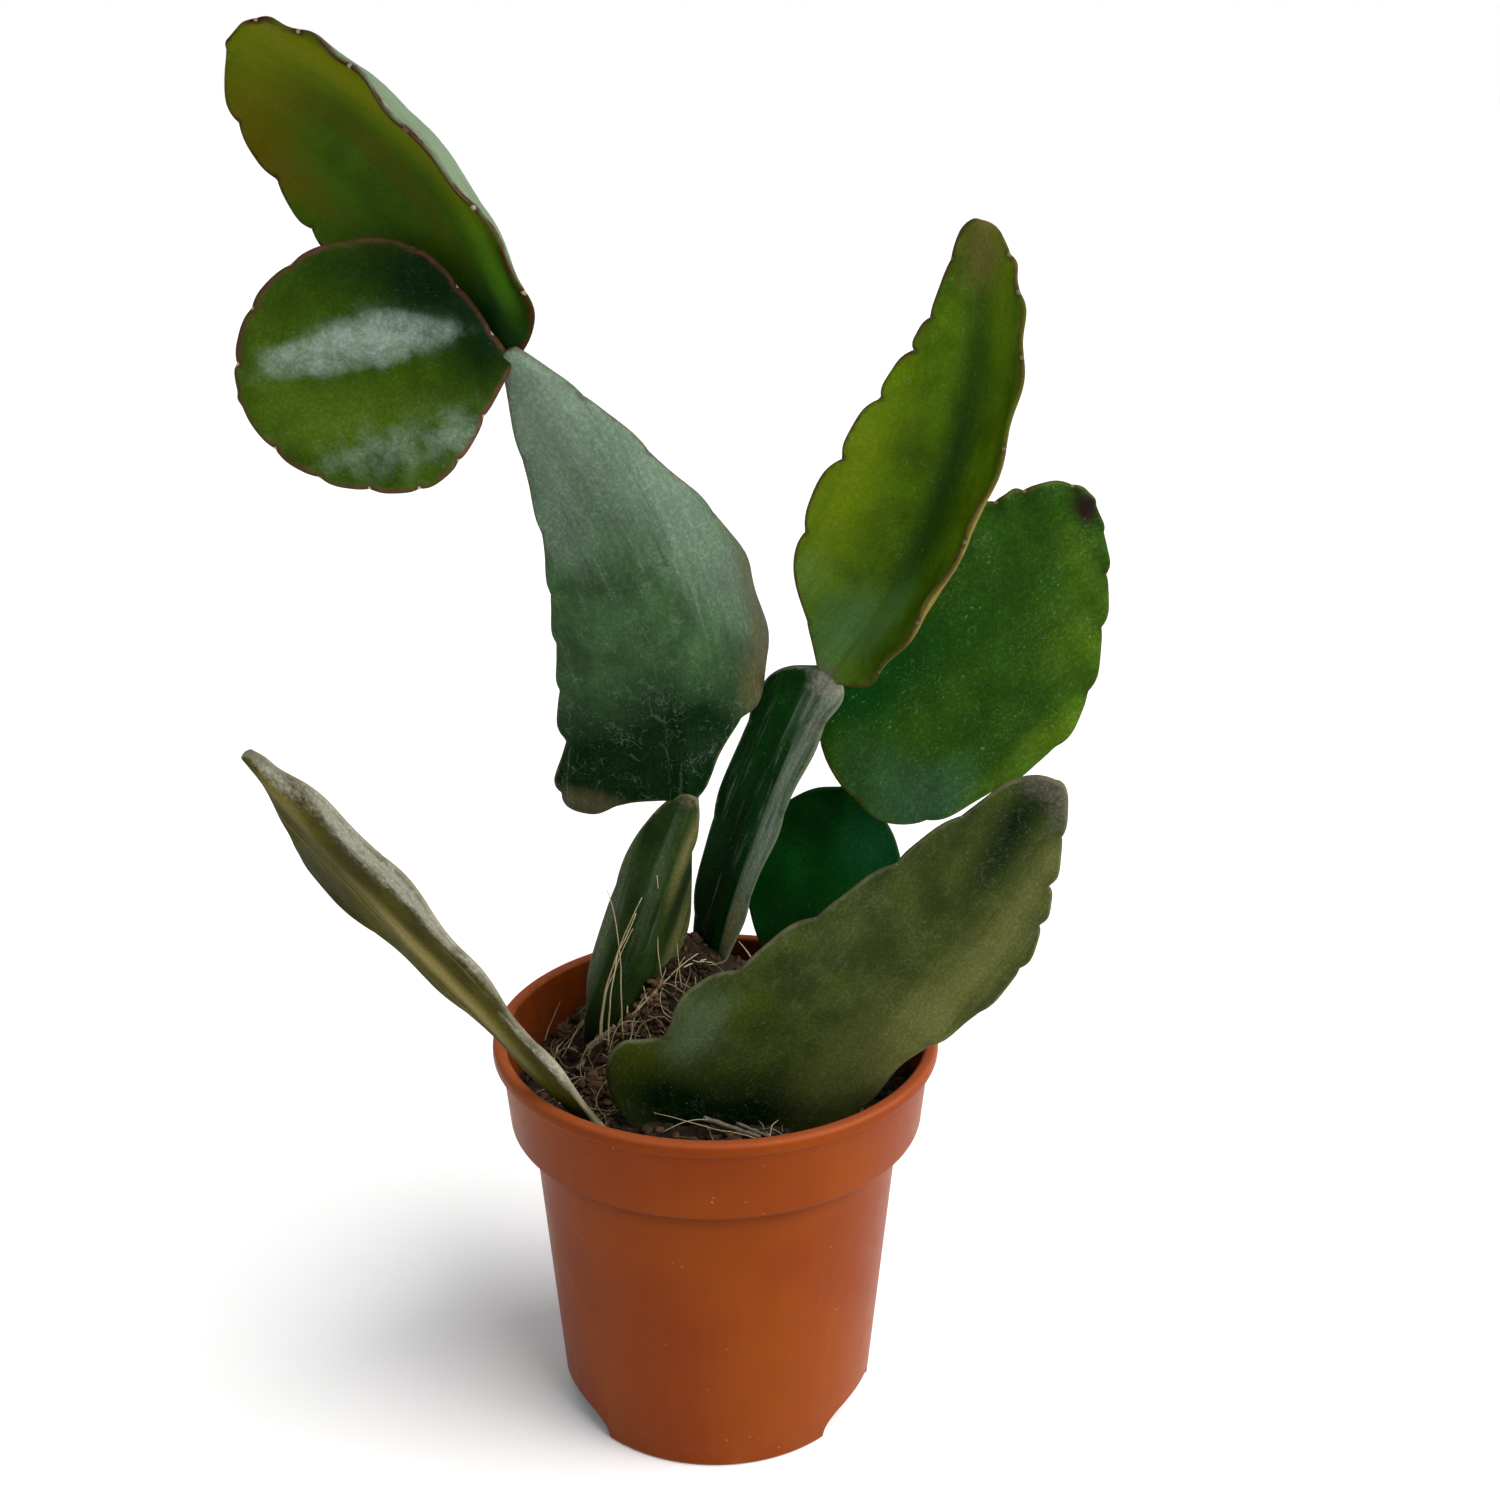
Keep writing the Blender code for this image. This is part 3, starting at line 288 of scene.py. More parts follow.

# The skin of each pad, and the layers over it. A layer lies in soft patches: along, across, half
# length, half width, amount, and the face if only one. Streaks, specks, scars and warts are pale.
# A shade layer is partly a pad's own dark green and partly painted shade, where the pad lies in shadow.
LOOKS = {
    "left_stem": dict(
        skin=(0.011, 0.025, 0.004), pale=(0.11, 0.13, 0.088), deep=(0.002, 0.006, 0.002),
        margin=(0.12, 0.105, 0.055), margin_width=0.8, dots=0.2, roughness=0.5, streaks=1.15, dust=0.3,
        layers=dict(
            warm=((0.11, 0.104, 0.038), [(74, 5, 14, 2.6, 0.9), (48, 13, 18, 3.4, 0.6)]),
            bloom=((0.074, 0.098, 0.054), [(46, -10, 30, 3, 0.8), (62, -1, 24, 1.6, 0.5)]),
            shade=((0.002, 0.003, 0.002), [(13, 0, 16, 12, 1.3), (62, 9, 14, 3.0, 0.6)]),
            cork=((0.088, 0.066, 0.044), [(88, 0, 3, 4, 0.5)]))),
    "left_middle": dict(
        skin=(0.025, 0.056, 0.02), pale=(0.15, 0.192, 0.15), deep=(0.01, 0.028, 0.011),
        margin=(0.072, 0.061, 0.036), margin_width=0.9, dots=0.25, roughness=0.5, streaks=0.55, scars=0.18,
        speckle=0.3, dust=0.26,
        layers=dict(
            bloom=((0.094, 0.132, 0.096), [(102, 0, 28, 22, 0.95), (68, 13, 24, 9, 0.65),
                (48, 22, 18, 7, 0.5), (76, -14, 14, 8, 0.35)]),
            # the deep green at the foot, and painted shade where the pad turns downwards
            shade=((0.001, 0.01, 0.001), [(4, -16, 18, 26, 1.2), (16, 4, 13, 13, 0.9), (30, -6, 9, 8, 0.2)]),
            warm=((0.064, 0.056, 0.024), [(22, 23, 10, 8, 0.95), (40, 26, 18, 5, 0.7),
                (-4, -22, 3.5, 10, 0.9)]))),
    "left_top": dict(
        skin=(0.03, 0.068, 0.001), pale=(0.088, 0.122, 0.006), deep=(0.006, 0.018, 0.001),
        margin=(0.04, 0.01, 0.004), margin_width=1.0, dots=0.7, roughness=0.42, streaks=0.34, dust=0.05,
        uneven=0.12,
        layers=dict(
            warm=((0.094, 0.11, 0.001), [(60, 8, 36, 6.5, 1.05, "front"), (80, -4, 10, 14, 0.6, "front")]),
            olive=((0.066, 0.042, 0.001), [(78, -14, 16, 10, 0.6), (62, -20, 24, 4, 0.4),
                (46, -3, 26, 3, 0.5, "front")]),
            # partly painted shadow, which left_round casts over the foot of this pad
            shade=((0.001, 0.012, 0.001), [(4, 0, 17, 16, 1.1)]),
            leaf=((0.055, 0.155, 0.003), [(16, 5, 12, 4, 0.6, "front"), (30, -14, 14, 6, 0.12, "front")]),
            bloom=((0.12, 0.16, 0.105), [(40, 18, 50, 16, 1.0, "back"), (40, -18, 50, 16, 0.5, "back")]))),
    "left_round": dict(
        skin=(0.016, 0.035, 0.001), pale=(0.128, 0.17, 0.128), deep=(0.003, 0.01, 0.001),
        margin=(0.062, 0.026, 0.016), margin_width=1.3, dots=0.8, roughness=0.38, streaks=0.04, specular=0.02,
        uneven=0.22, dust=0.22,
        layers=dict(
            warm=((0.04, 0.066, 0.005), [(40, -8, 15, 8, 0.7), (49, 9, 6, 12, 0.4), (20, -8, 10, 5, 0.25)]),
            shade=((0.001, 0.008, 0.001), [(14, 18, 15, 12, 1.1), (34, 23, 14, 5, 0.4), (5, 2, 8, 9, 0.8)]),
            # a painted highlight above the midrib, in place of a window's reflection, and pale bloom on the
            # lower wing
            gleam=((0.15, 0.2, 0.17), [(27, 8.5, 10, 4.2, 0.72), (41, 6.0, 10, 3.0, 0.58),
                (16, 7.0, 7, 2.4, 0.4), (33, 2.5, 16, 2.2, 0.25), (26, -16, 14, 7, 0.25),
                (11, -14, 7, 6, 0.22), (40, -18, 8, 5, 0.12)]))),
    "centre_stem": dict(
        skin=(0.002, 0.024, 0.002), pale=(0.19, 0.215, 0.165), deep=(0.001, 0.006, 0.001),
        margin=(0.11, 0.13, 0.08), margin_width=0.7, dots=0.1, roughness=0.5, streaks=1.05, dust=0.3,
        layers=dict(
            # the long narrow patch is painted shade on the flank of the rib
            shade=((0.001, 0.009, 0.001), [(26, -5, 22, 6, 0.9), (50, -4, 40, 2.0, 0.6)]),
            bloom=((0.15, 0.2, 0.14), [(64, 5.0, 60, 3.4, 1.0), (92, -1, 10, 3, 0.2)]),
            warm=((0.135, 0.108, 0.034), [(26, 4.5, 16, 2.0, 0.85)]),
            cork=((0.165, 0.155, 0.13), [(99, 1, 4.0, 4.5, 0.9), (86, 5, 12, 2.0, 0.5)]))),
    "centre_tall": dict(
        skin=(0.04, 0.082, 0.001), pale=(0.105, 0.155, 0.066), deep=(0.012, 0.036, 0.001),
        margin=(0.056, 0.036, 0.009), margin_width=0.8, dots=0.25, roughness=0.42, streaks=0.28, speckle=0.6,
        warts=0.2, dust=0.15,
        layers=dict(
            warm=((0.084, 0.128, 0.002), [(34, -19, 20, 8, 0.95), (58, -19, 14, 5, 0.75),
                (74, -13, 16, 4, 0.4), (94, 7, 14, 4, 0.6), (60, 14, 26, 4, 0.35)]),
            shade=((0.009, 0.034, 0.001), [(60, 2.0, 36, 4.0, 1.0), (40, 5, 16, 5, 0.4)]),
            olive=((0.07, 0.054, 0.014), [(103, 1, 9, 6, 0.8)]),
            ochre=((0.13, 0.105, 0.02), [(38, 20, 34, 12, 1.1, "back"), (34, 24.5, 22, 1.6, 0.9, "front")]),
            bloom=((0.062, 0.145, 0.05), [(12, -4, 12, 8, 0.6), (22, 6, 12, 5, 0.35), (20, -19, 9, 6, 0.3)]),
            cork=((0.094, 0.077, 0.055), [(0, 0, 4, 4, 0.9)]))),
    "centre_round": dict(
        skin=(0.009, 0.033, 0.001), pale=(0.084, 0.13, 0.062), deep=(0.005, 0.024, 0.001),
        margin=(0.047, 0.047, 0.007), margin_width=0.8, dots=0.3, roughness=0.45, streaks=0.08, speckle=0.8,
        warts=0.18, uneven=0.15, dust=0.36,
        layers=dict(
            warm=((0.043, 0.084, 0.002), [(60, 30, 16, 13, 0.5), (44, 49, 14, 5, 0.85), (66, 8, 6, 12, 0.35),
                (22, 52, 16, 4, 0.4)]),
            shade=((0.001, 0.022, 0.001), [(6, 8, 14, 10, 1.1), (28, 8, 20, 9, 0.5)]),
            bloom=((0.018, 0.05, 0.024), [(6, 45, 14, 10, 0.6), (-2, 28, 9, 14, 0.35)]),
            spot=((0.008, 0.003, 0.003), [(72, 0, 3.0, 4.5, 1.2)]),
            cork=((0.094, 0.077, 0.055), [(0, 0, 4, 4, 0.7)]))),
    "back_pad": dict(
        skin=(0.001, 0.03, 0.002), pale=(0.02, 0.062, 0.032), deep=(0.001, 0.009, 0.001),
        margin=(0.011, 0.036, 0.012), margin_width=0.7, dots=0.1, roughness=0.45, streaks=0.15, speckle=0.5,
        dust=0.3,
        layers=dict(
            shade=((0.001, 0.008, 0.001), [(15, -4, 18, 18, 0.9)]),
            bloom=((0.005, 0.04, 0.014), [(46, 9, 9, 8, 0.7)]))),
    "front_pad": dict(
        skin=(0.024, 0.034, 0.006), pale=(0.108, 0.12, 0.074), deep=(0.01, 0.014, 0.002),
        margin=(0.088, 0.084, 0.046), margin_width=0.8, dots=0.3, roughness=0.52, streaks=0.32, speckle=0.6,
        scars=0.12, warts=0.12, dust=0.26,
        layers=dict(
            warm=((0.074, 0.077, 0.021), [(44, 9, 36, 6.5, 0.85), (78, 11, 16, 5, 0.4), (24, -4, 14, 6, 0.4),
                (46, -2, 14, 6, 0.35), (97, 9, 8, 4, 0.5)]),
            leaf=((0.032, 0.042, 0.001), [(6, -41, 9, 7, 0.85), (31, -25, 9, 5, 0.5)]),
            bloom=((0.058, 0.083, 0.04), [(20, -35, 10, 7, 0.8), (60, -19, 24, 8, 0.2)]),
            shade=((0.001, 0.006, 0.001), [(0, -26, 8, 18, 1.2), (9, -10, 9, 10, 0.9), (103, -3, 12, 5, 0.75),
                (89, -1, 9, 4, 0.5), (28, -22, 7, 5, 0.35)]),
            cork=((0.064, 0.058, 0.044), [(112, -3, 4.5, 7, 0.8), (108, 5, 6, 3, 0.5)]))),
    "side_pad": dict(
        skin=(0.036, 0.032, 0.001), pale=(0.205, 0.17, 0.083), deep=(0.017, 0.019, 0.001),
        margin=(0.15, 0.138, 0.09), margin_width=0.7, dots=0.1, roughness=0.5, streaks=1.15, dust=0.25,
        layers=dict(
            warm=((0.165, 0.132, 0.032), [(58, -1, 22, 3, 1.0), (114, 0, 9, 3, 0.6), (76, -3, 18, 3, 0.5)]),
            shade=((0.014, 0.017, 0.001), [(97, -17, 18, 6, 0.9), (16, -2, 15, 8, 1.1)]),
            cork=((0.29, 0.282, 0.215), [(76, 12.0, 50, 2.8, 1.1), (98, 10, 14, 3.6, 0.8),
                (30, 6, 16, 1.6, 0.9), (122, 5, 8, 3, 0.9)]))),
}


# Meshes
def add_object(name, data):
    thing = bpy.data.objects.new(name, data)
    bpy.context.scene.collection.objects.link(thing)
    return thing


def add_piece(name, points, faces, material, attributes=None, smooth=True):
    """a mesh object from points in millimetres, with values for each point"""
    mesh = bpy.data.meshes.new(name)
    mesh.from_pydata((np.asarray(points, float) * MM).tolist(), [], faces)
    mesh.validate()
    for key, values in (attributes or {}).items():
        values = np.asarray(values, np.float32)
        kind, field = ("FLOAT_VECTOR", "vector") if values.ndim == 2 else ("FLOAT", "value")
        mesh.attributes.new(key, kind, "POINT").data.foreach_set(field, values.ravel())
    if smooth:
        mesh.shade_smooth()
    mesh.materials.append(material)
    return add_object(name, mesh)


def ring_faces(first, rings, steps):
    """the quads between rings of points, from index first on"""
    faces = []
    for ring in range(rings - 1):
        for i in range(steps):
            a, b = first + ring * steps + i, first + ring * steps + (i + 1) % steps
            faces.append((a, a + steps, b + steps, b))
    return faces


def dress(piece, slot, *nodes):
    """seats a piece on the model, in place of these nodes"""
    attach(piece, "root")
    if nodes:
        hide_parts(*nodes)
    return piece


def noise_at(points, size, seed=0.0):
    """smooth noise from about -1 to 1 at points in millimetres"""
    scaled = np.asarray(points, float) / size + seed
    return np.array([noise.noise(Vector(p)) for p in scaled.tolist()])


def unit(vectors):
    return vectors / np.linalg.norm(vectors, axis=-1, keepdims=True)


# Materials
class Look:
    """the nodes of a material or a world, and short ways to add to them"""

    def __init__(self, owner):
        owner.use_nodes = True
        self.owner = owner
        self.tree = owner.node_tree

    def fill(self, node, values):
        """gives each named or numbered input of a node a value or a link"""
        for key, value in values.items():
            socket = node.inputs[key]
            if isinstance(value, bpy.types.NodeSocket):
                self.tree.links.new(value, socket)
            elif value is not None:
                socket.default_value = (*value, 1.0) if socket.type == "RGBA" else value
        return node

    def node(self, kind, values, output=0, **settings):
        node = self.tree.nodes.new(kind)
        for key, value in settings.items():
            setattr(node, key, value)
        return self.fill(node, values).outputs[output]

    def math(self, operation, *values, clamp=False):
        return self.node("ShaderNodeMath", dict(enumerate(values)), operation=operation, use_clamp=clamp)

    def times(self, first, second):
        return self.math("MULTIPLY", first, second)

    def scaled(self, vector, factors):
        return self.node("ShaderNodeVectorMath", {0: vector, 1: factors}, operation="MULTIPLY")

    def place(self):
        """the position on the piece in millimetres"""
        return self.scaled(self.node("ShaderNodeTexCoord", {}, "Object"), (1 / MM,) * 3)

    def mix(self, factor, first, second, blend="MIX"):
        values = {0: factor, 6: first, 7: second}
        return self.node("ShaderNodeMix", values, 2, data_type="RGBA", blend_type=blend)

    def tint(self, colour, mask, amount, other):
        """a colour with another one over it, as far as a mask times an amount goes"""
        return self.mix(self.times(mask, amount), colour, other)

    def shaded(self, colour, grain, depth, least):
        """a colour that varies in lightness with a grain"""
        shade = self.math("MULTIPLY_ADD", grain, depth, least)
        grey = self.node("ShaderNodeCombineColor", {0: shade, 1: shade, 2: shade})
        return self.mix(1.0, colour, grey, "MULTIPLY")

    def step(self, value, low, high, start=0.0, end=1.0):
        """goes smoothly from start to end as value goes from low to high"""
        values = dict(enumerate((value, low, high, start, end)))
        return self.node("ShaderNodeMapRange", values, interpolation_type="SMOOTHSTEP")

    def noise(self, vector, size, detail=2.0, rough=0.5, distortion=0.0):
        return self.node("ShaderNodeTexNoise", {"Vector": vector, "Scale": 1 / size, "Detail": detail,
                                                "Roughness": rough, "Distortion": distortion}, "Fac")

    def cells(self, vector, size):
        return self.node("ShaderNodeTexVoronoi", {"Vector": vector, "Scale": 1 / size}, "Distance")

    def attribute(self, name, output="Fac"):
        return self.node("ShaderNodeAttribute", {}, output, attribute_name=name)

    def bump(self, height, strength, distance, normal=None):
        return self.node("ShaderNodeBump", {"Height": height, "Strength": strength,
                                            "Distance": distance * MM, "Normal": normal})

    def finish(self, colour, roughness, normal=None, specular=0.1):
        self.fill(self.tree.nodes["Principled BSDF"],
                  {"Base Color": colour, "Roughness": roughness, "Normal": normal,
                   "Specular IOR Level": specular})
        return self.owner


def pad_material(name):
    """the skin of a pad: soft patches of colour, painted shade and highlight, streaks, specks, scars and a
    coloured margin
    """
    paint = LOOKS[name]
    look = Look(bpy.data.materials.new(name))
    pale, margin, streaks = paint["pale"], paint["margin"], paint["streaks"]
    uneven = paint.get("uneven", UNEVEN)
    place = look.attribute("place", "Vector")
    mottle = look.noise(place, 9.0, detail=4.0, rough=0.55)
    fine = look.noise(place, 1.6, detail=3.0)
    grain = look.noise(place, 0.45)
    streak = look.noise(look.scaled(place, (0.07, 1.0, 1.0)), 1.5, detail=4.0, rough=0.6, distortion=0.4)
    band = look.noise(look.scaled(place, (0.10, 1.0, 1.0)), 5.0, detail=3.0, distortion=0.3)
    streaked = look.math("MULTIPLY_ADD", streak, 0.6, look.times(band, 0.4))

    dark, light = (tuple(change * c for c in paint["skin"]) for change in (1 - uneven, 1 + uneven))
    colour = look.mix(look.step(mottle, 0.35, 0.65), dark, light)
    patterns = {"bloom": (streaked, 0.5 + 1.2 * streaks), "cork": (fine, 1.4), "warm": (streaked, 0.9),
                # left_round's pale layer is a painted highlight, with some bloom on its lower wing
                "gleam": (look.noise(place, 3.6, detail=4.0, rough=0.55), 1.1),
                "shade": (mottle, 3.2 * uneven)}
    for layer, (tint, _) in paint["layers"].items():
        mask = look.attribute(layer)
        pattern, depth = patterns.get(layer, (mottle, 0.8))
        broken = look.math("MULTIPLY_ADD", look.math("SUBTRACT", pattern, 0.5), depth, mask)
        covered = look.math("MULTIPLY", broken, look.step(mask, 0.0, 0.35), clamp=True)
        colour = look.mix(covered, colour, tint)

    for low, high, amount, tint in ((0.55, 0.72, 0.40, pale), (0.45, 0.30, 0.45, paint["deep"])):
        colour = look.tint(colour, look.step(streaked, low, high), amount * streaks, tint)
    for size, low, high, area, amount in SPECKS:
        specks = look.times(look.step(look.noise(place, size), low, high),
                            look.step(look.noise(place, area), 0.45, 0.60))
        colour = look.tint(colour, specks, amount * paint.get("speckle", SPECKLE), pale)
    dust = look.step(look.noise(place, 0.8, detail=4.0, rough=0.65), 0.45, 0.66)
    dusty = look.mix(1.0, colour, (DUST_GAIN,) * 3, "MULTIPLY")
    colour = look.tint(colour, dust, paint["dust"], dusty)
    if "warts" in paint:
        ring = look.math("ABSOLUTE", look.math("SUBTRACT", look.cells(place, 6.0), 0.16))
        warts = look.math("MAXIMUM", look.step(ring, 0.05, 0.01),
                          look.step(look.cells(place, 4.1), 0.16, 0.09))
        warts = look.times(warts, look.step(look.noise(place, 13.0), 0.50, 0.58))
        colour = look.tint(colour, warts, paint["warts"], pale)
    if "scars" in paint:
        for size, width in SCARS:
            worm = look.noise(place, size, detail=1.5, distortion=1.3)
            worm = look.step(look.math("ABSOLUTE", look.math("SUBTRACT", worm, 0.5)), width, 0.3 * width)
            area = look.step(look.noise(place, 1.3 * size, detail=1.0), 0.50, 0.60)
            colour = look.tint(colour, look.times(worm, area), paint["scars"], pale)

    width, areole = paint["margin_width"], look.attribute("areole")
    from_edge = look.math("ADD", look.attribute("edge"), look.math("MULTIPLY_ADD", fine, 1.3, -0.65))
    worn = look.step(look.noise(place, 6.0, detail=3.0), 0.35, 0.65, start=0.35)
    colour = look.mix(look.times(look.step(from_edge, 1.2 * width, 0.3 * width), worn), colour, margin)
    colour = look.mix(look.step(areole, 1.8, 0.5, end=0.6), colour, tuple(0.5 * c for c in margin))
    colour = look.mix(look.step(areole, 0.60, 0.35, end=paint["dots"]), colour, AREOLE_COLOUR)
    colour = look.shaded(colour, grain, 0.50, 0.75)

    rough = look.math("MULTIPLY_ADD", fine, 0.16, paint["roughness"] - 0.08)
    if "cork" in paint["layers"]:
        rough = look.math("MULTIPLY_ADD", look.attribute("cork"), 0.30, rough, clamp=True)
    bumps = look.math("MULTIPLY_ADD", grain, 0.35, look.times(fine, 0.65))
    normal = look.bump(streaked, 0.30 + 0.3 * streaks, 0.30, look.bump(bumps, 0.35, 0.25))
    return look.finish(colour, rough, normal, paint.get("specular", SPECULAR))


def pot_material():
    look = Look(bpy.data.materials.new("pot"))
    place = look.place()
    cloud = look.noise(place, 34.0, detail=3.0)
    upright = look.noise(look.scaled(place, (1.0, 1.0, 0.08)), 2.4, detail=3.0)
    scratches = look.noise(look.scaled(place, (1.0, 1.0, 0.03)), 0.5)
    dust = look.noise(place, 5.0, detail=6.0, rough=0.7)
    height = look.node("ShaderNodeSeparateXYZ", {0: place}, "Z")
    masks = {
        "upright": look.step(upright, 0.45, 0.7),
        "foot": look.times(look.step(height, 14.0, 0.0), look.step(dust, 0.45, 0.7)),
        "specks": look.times(look.step(look.cells(place, 2.6), 0.13, 0.07),
                             look.step(look.noise(place, 12.0), 0.56, 0.66)),
        # painted highlight along the top of the lip
        "lip_highlight": look.step(height, 94.9, 95.9),
        # painted shade under the collar's overhang
        "collar_shade": look.times(look.step(height, 67.5, 73.6), look.step(height, 76.2, 75.2)),
        "inside": look.times(look.attribute("inside"), look.step(dust, 0.30, 0.75)),
    }
    colour = look.mix(look.step(cloud, 0.35, 0.65), *POT_COLOURS)
    for name, (amount, tint) in POT_TINTS.items():
        colour = look.tint(colour, masks[name], amount, tint)
    rough = look.math("MULTIPLY_ADD", dust, 0.18, 0.30)
    normal = look.bump(look.noise(place, 0.7), 0.10, 0.10)
    normal = look.bump(scratches, 0.06, 0.10, normal)
    return look.finish(colour, rough, look.bump(cloud, 0.25, 0.8, normal), 0.06)


def soil_material():
    look = Look(bpy.data.materials.new("soil"))
    place = look.place()
    clumps = look.noise(place, 5.0, detail=5.0, rough=0.65)
    grain = look.noise(place, 0.8, detail=4.0, rough=0.7)
    colour = look.mix(look.step(clumps, 0.35, 0.65), (0.007, 0.005, 0.003), (0.030, 0.018, 0.010))
    colour = look.mix(look.step(grain, 0.55, 0.75, end=0.6), colour, (0.060, 0.036, 0.020))
    return look.finish(colour, 0.95, look.bump(grain, 0.9, 0.6), 0.15)


def shade_material(name, dark, light, roughness):
    """for many small pieces, each with its own shade from dark to light"""
    look = Look(bpy.data.materials.new(name))
    grain = look.noise(look.place(), 0.6, detail=3.0)
    colour = look.shaded(look.mix(look.attribute("shade"), dark, light), grain, 0.8, 0.6)
    return look.finish(colour, roughness, look.bump(grain, 0.6, 0.3))


# Pads
class PadSurface:
    """the middle surface of a pad: flat positions along and across the midrib, bent into place"""

    def __init__(self, pad):
        self.pad = pad
        self.base = np.array(pad["base"], float)
        self.chord = np.array(pad["tip"], float) - self.base
        self.length = float(np.linalg.norm(self.chord))
        along = self.chord / self.length
        azimuth, elevation = (math.radians(angle) for angle in pad["facing"])
        facing = np.array([math.sin(azimuth) * math.cos(elevation),
                           -math.cos(azimuth) * math.cos(elevation),
                           math.sin(elevation)])
        self.front = unit(facing - along * (facing @ along))
        self.side = np.cross(along, self.front)

    def midrib(self, t):
        bow = np.where(t < 0, 4 * t, np.where(t > 1, 4 * (1 - t), 4 * t * (1 - t)))
        bend = self.pad.get("arch", 0) * self.front + self.pad.get("sway", 0) * self.side
        return self.base + np.outer(t, self.chord) + np.outer(bow, bend)

    def axes(self, t):
        """directions to the front and to the right at positions t along the midrib"""
        step = 1e-3
        inside = np.clip(t, 0, 1)
        along = unit(self.midrib(inside + step) - self.midrib(inside - step))
        front = unit(self.front - along * (along @ self.front)[:, None])
        return front, np.cross(along, front)

    def bend(self, along, across):
        """points and front normals for arrays of flat positions; across is negative on the left wing"""
        t = along / self.length
        front, side = self.axes(t)
        is_right = across >= 0
        side = np.where(is_right[:, None], side, -side)
        fold = np.radians(np.where(is_right, *reversed(self.pad["fold"])))
        fold = fold * (1 + self.pad.get("fade", 0) * (1 - 2 * t))
        for end in (0, self.length):
            fold = fold * (1 - np.exp(-((along - end) / FLAT_END) ** 2))
        curl = np.radians(np.where(is_right, *reversed(self.pad.get("curl", (0, 0)))))
        rate = curl / self.pad.get("reach", 25)
        rate = np.where(np.abs(rate) < 1e-5, 1e-5, rate)
        out = np.abs(across)
        turned = fold + rate * out
        reach = np.sqrt(out ** 2 + MIDRIB_SOFTNESS ** 2)
        sideways = (np.sin(turned) - np.sin(fold)) / rate
        forward = (np.cos(fold) - np.cos(turned)) / rate
        forward = forward - np.sin(fold) * (out - reach + MIDRIB_SOFTNESS)
        rise = np.sin(turned) - np.sin(fold) * (1 - out / reach)
        normal = unit(front * np.cos(turned)[:, None] - side * rise[:, None])
        return self.midrib(t) + side * sideways[:, None] + front * forward[:, None], normal


def smooth_curve(points, samples_per_span=24):
    """a smooth curve through a few points, by cubic pieces with continuous slopes"""
    points = np.array(points, float)
    knots = np.concatenate([[0], np.cumsum(np.sqrt(np.linalg.norm(np.diff(points, axis=0), axis=1)))])
    steps = np.diff(knots)[:, None]
    slopes = np.diff(points, axis=0) / steps
    inner = (slopes[1:] * steps[:-1] + slopes[:-1] * steps[1:]) / (steps[:-1] + steps[1:])
    tangents = np.vstack([2 * slopes[0] - inner[0], inner, 2 * slopes[-1] - inner[-1]])
    curve = []
    for i, step in enumerate(steps[:, 0]):
        s = np.linspace(0, 1, samples_per_span, endpoint=False)[:, None]
        start = (2 * s ** 3 - 3 * s ** 2 + 1) * points[i] + (s ** 3 - 2 * s ** 2 + s) * step * tangents[i]
        end = (3 * s ** 2 - 2 * s ** 3) * points[i + 1] + (s ** 3 - s ** 2) * step * tangents[i + 1]
        curve.append(start + end)
    curve.append(points[-1:])
    return np.vstack(curve)


def wing_curve(pad, length, is_right):
    """the smooth outline of a wing, and its running length"""
    tip_width = NODE_HALF_WIDTH if pad.get("node") else TIP_HALF_WIDTH
    points = [(0, NECK_HALF_WIDTH), *pad["right" if is_right else "left"], (length, tip_width)]
    curve = smooth_curve(points)
    run = np.concatenate([[0], np.cumsum(np.linalg.norm(np.diff(curve, axis=0), axis=1))])
    return curve, run


def wing_notches(pad, is_right):
    """the shares of a wing's margin at which its notches lie, and how deep they are"""
    listed = pad.get("notches", {}).get("right" if is_right else "left")
    if not listed:
        places = [(k - 0.5 * is_right) / pad["lobes"] for k in range(1, pad["lobes"] + 1)]
        listed = [(place, pad["notch"]) for place in places if place < 1]
    return np.array(listed).T


def lobe_turns(pad, is_right, u):
    """rises by 1 from each notch to the next, and is a whole number in a notch"""
    shares, _ = wing_notches(pad, is_right)
    return np.interp(u, [0, *shares, 1], np.arange(len(shares) + 2))


def lobe_pinch(pad, is_right, u):
    """1 in the notches between lobes, 0 at the middle of a lobe"""
    pinch = (1 - np.abs(np.sin(math.pi * lobe_turns(pad, is_right, u)))) ** 2
    return pinch * np.clip(u / NOTCHES_FROM, 0, 1) * np.clip((1 - u) / NOTCHES_TO, 0, 1)


def wing_edge(pad, length, is_right, u):
    """positions along and out of a wing's margin at shares u of its length, with its notches"""
    curve, run = wing_curve(pad, length, is_right)
    along = np.interp(u, run / run[-1], curve[:, 0])
    out = np.interp(u, run / run[-1], curve[:, 1])
    depth = np.interp(u, *wing_notches(pad, is_right)) * lobe_pinch(pad, is_right, u)
    depth[0] = depth[-1] = 0
    tangent = unit(np.stack([np.gradient(along), np.gradient(out)], -1))
    return along + tangent[:, 1] * depth, out - tangent[:, 0] * depth


def distance_to(places, starts, spans):
    """from each flat place to the nearest of some straight spans, which may have no length"""
    squares = np.maximum((spans ** 2).sum(axis=1), 1e-12)
    nearest = []
    for block in range(0, len(places), BLOCK):
        part = places[block:block + BLOCK, None]
        share = np.clip(((part - starts) * spans).sum(axis=2) / squares, 0, 1)
        nearest.append(np.linalg.norm(part - starts - share[..., None] * spans, axis=2).min(axis=1))
    return np.concatenate(nearest)


def patch_mask(patches, along, across, face):
    """the sum of soft patches on one face of a pad"""
    mask = np.zeros_like(along)
    for middle, aside, half_length, half_width, amount, *only in patches:
        if not only or only[0] == face:
            spread = ((along - middle) / half_length) ** 2 + ((across - aside) / half_width) ** 2
            mask += amount * np.exp(-spread)
    return np.clip(mask, 0, 1)


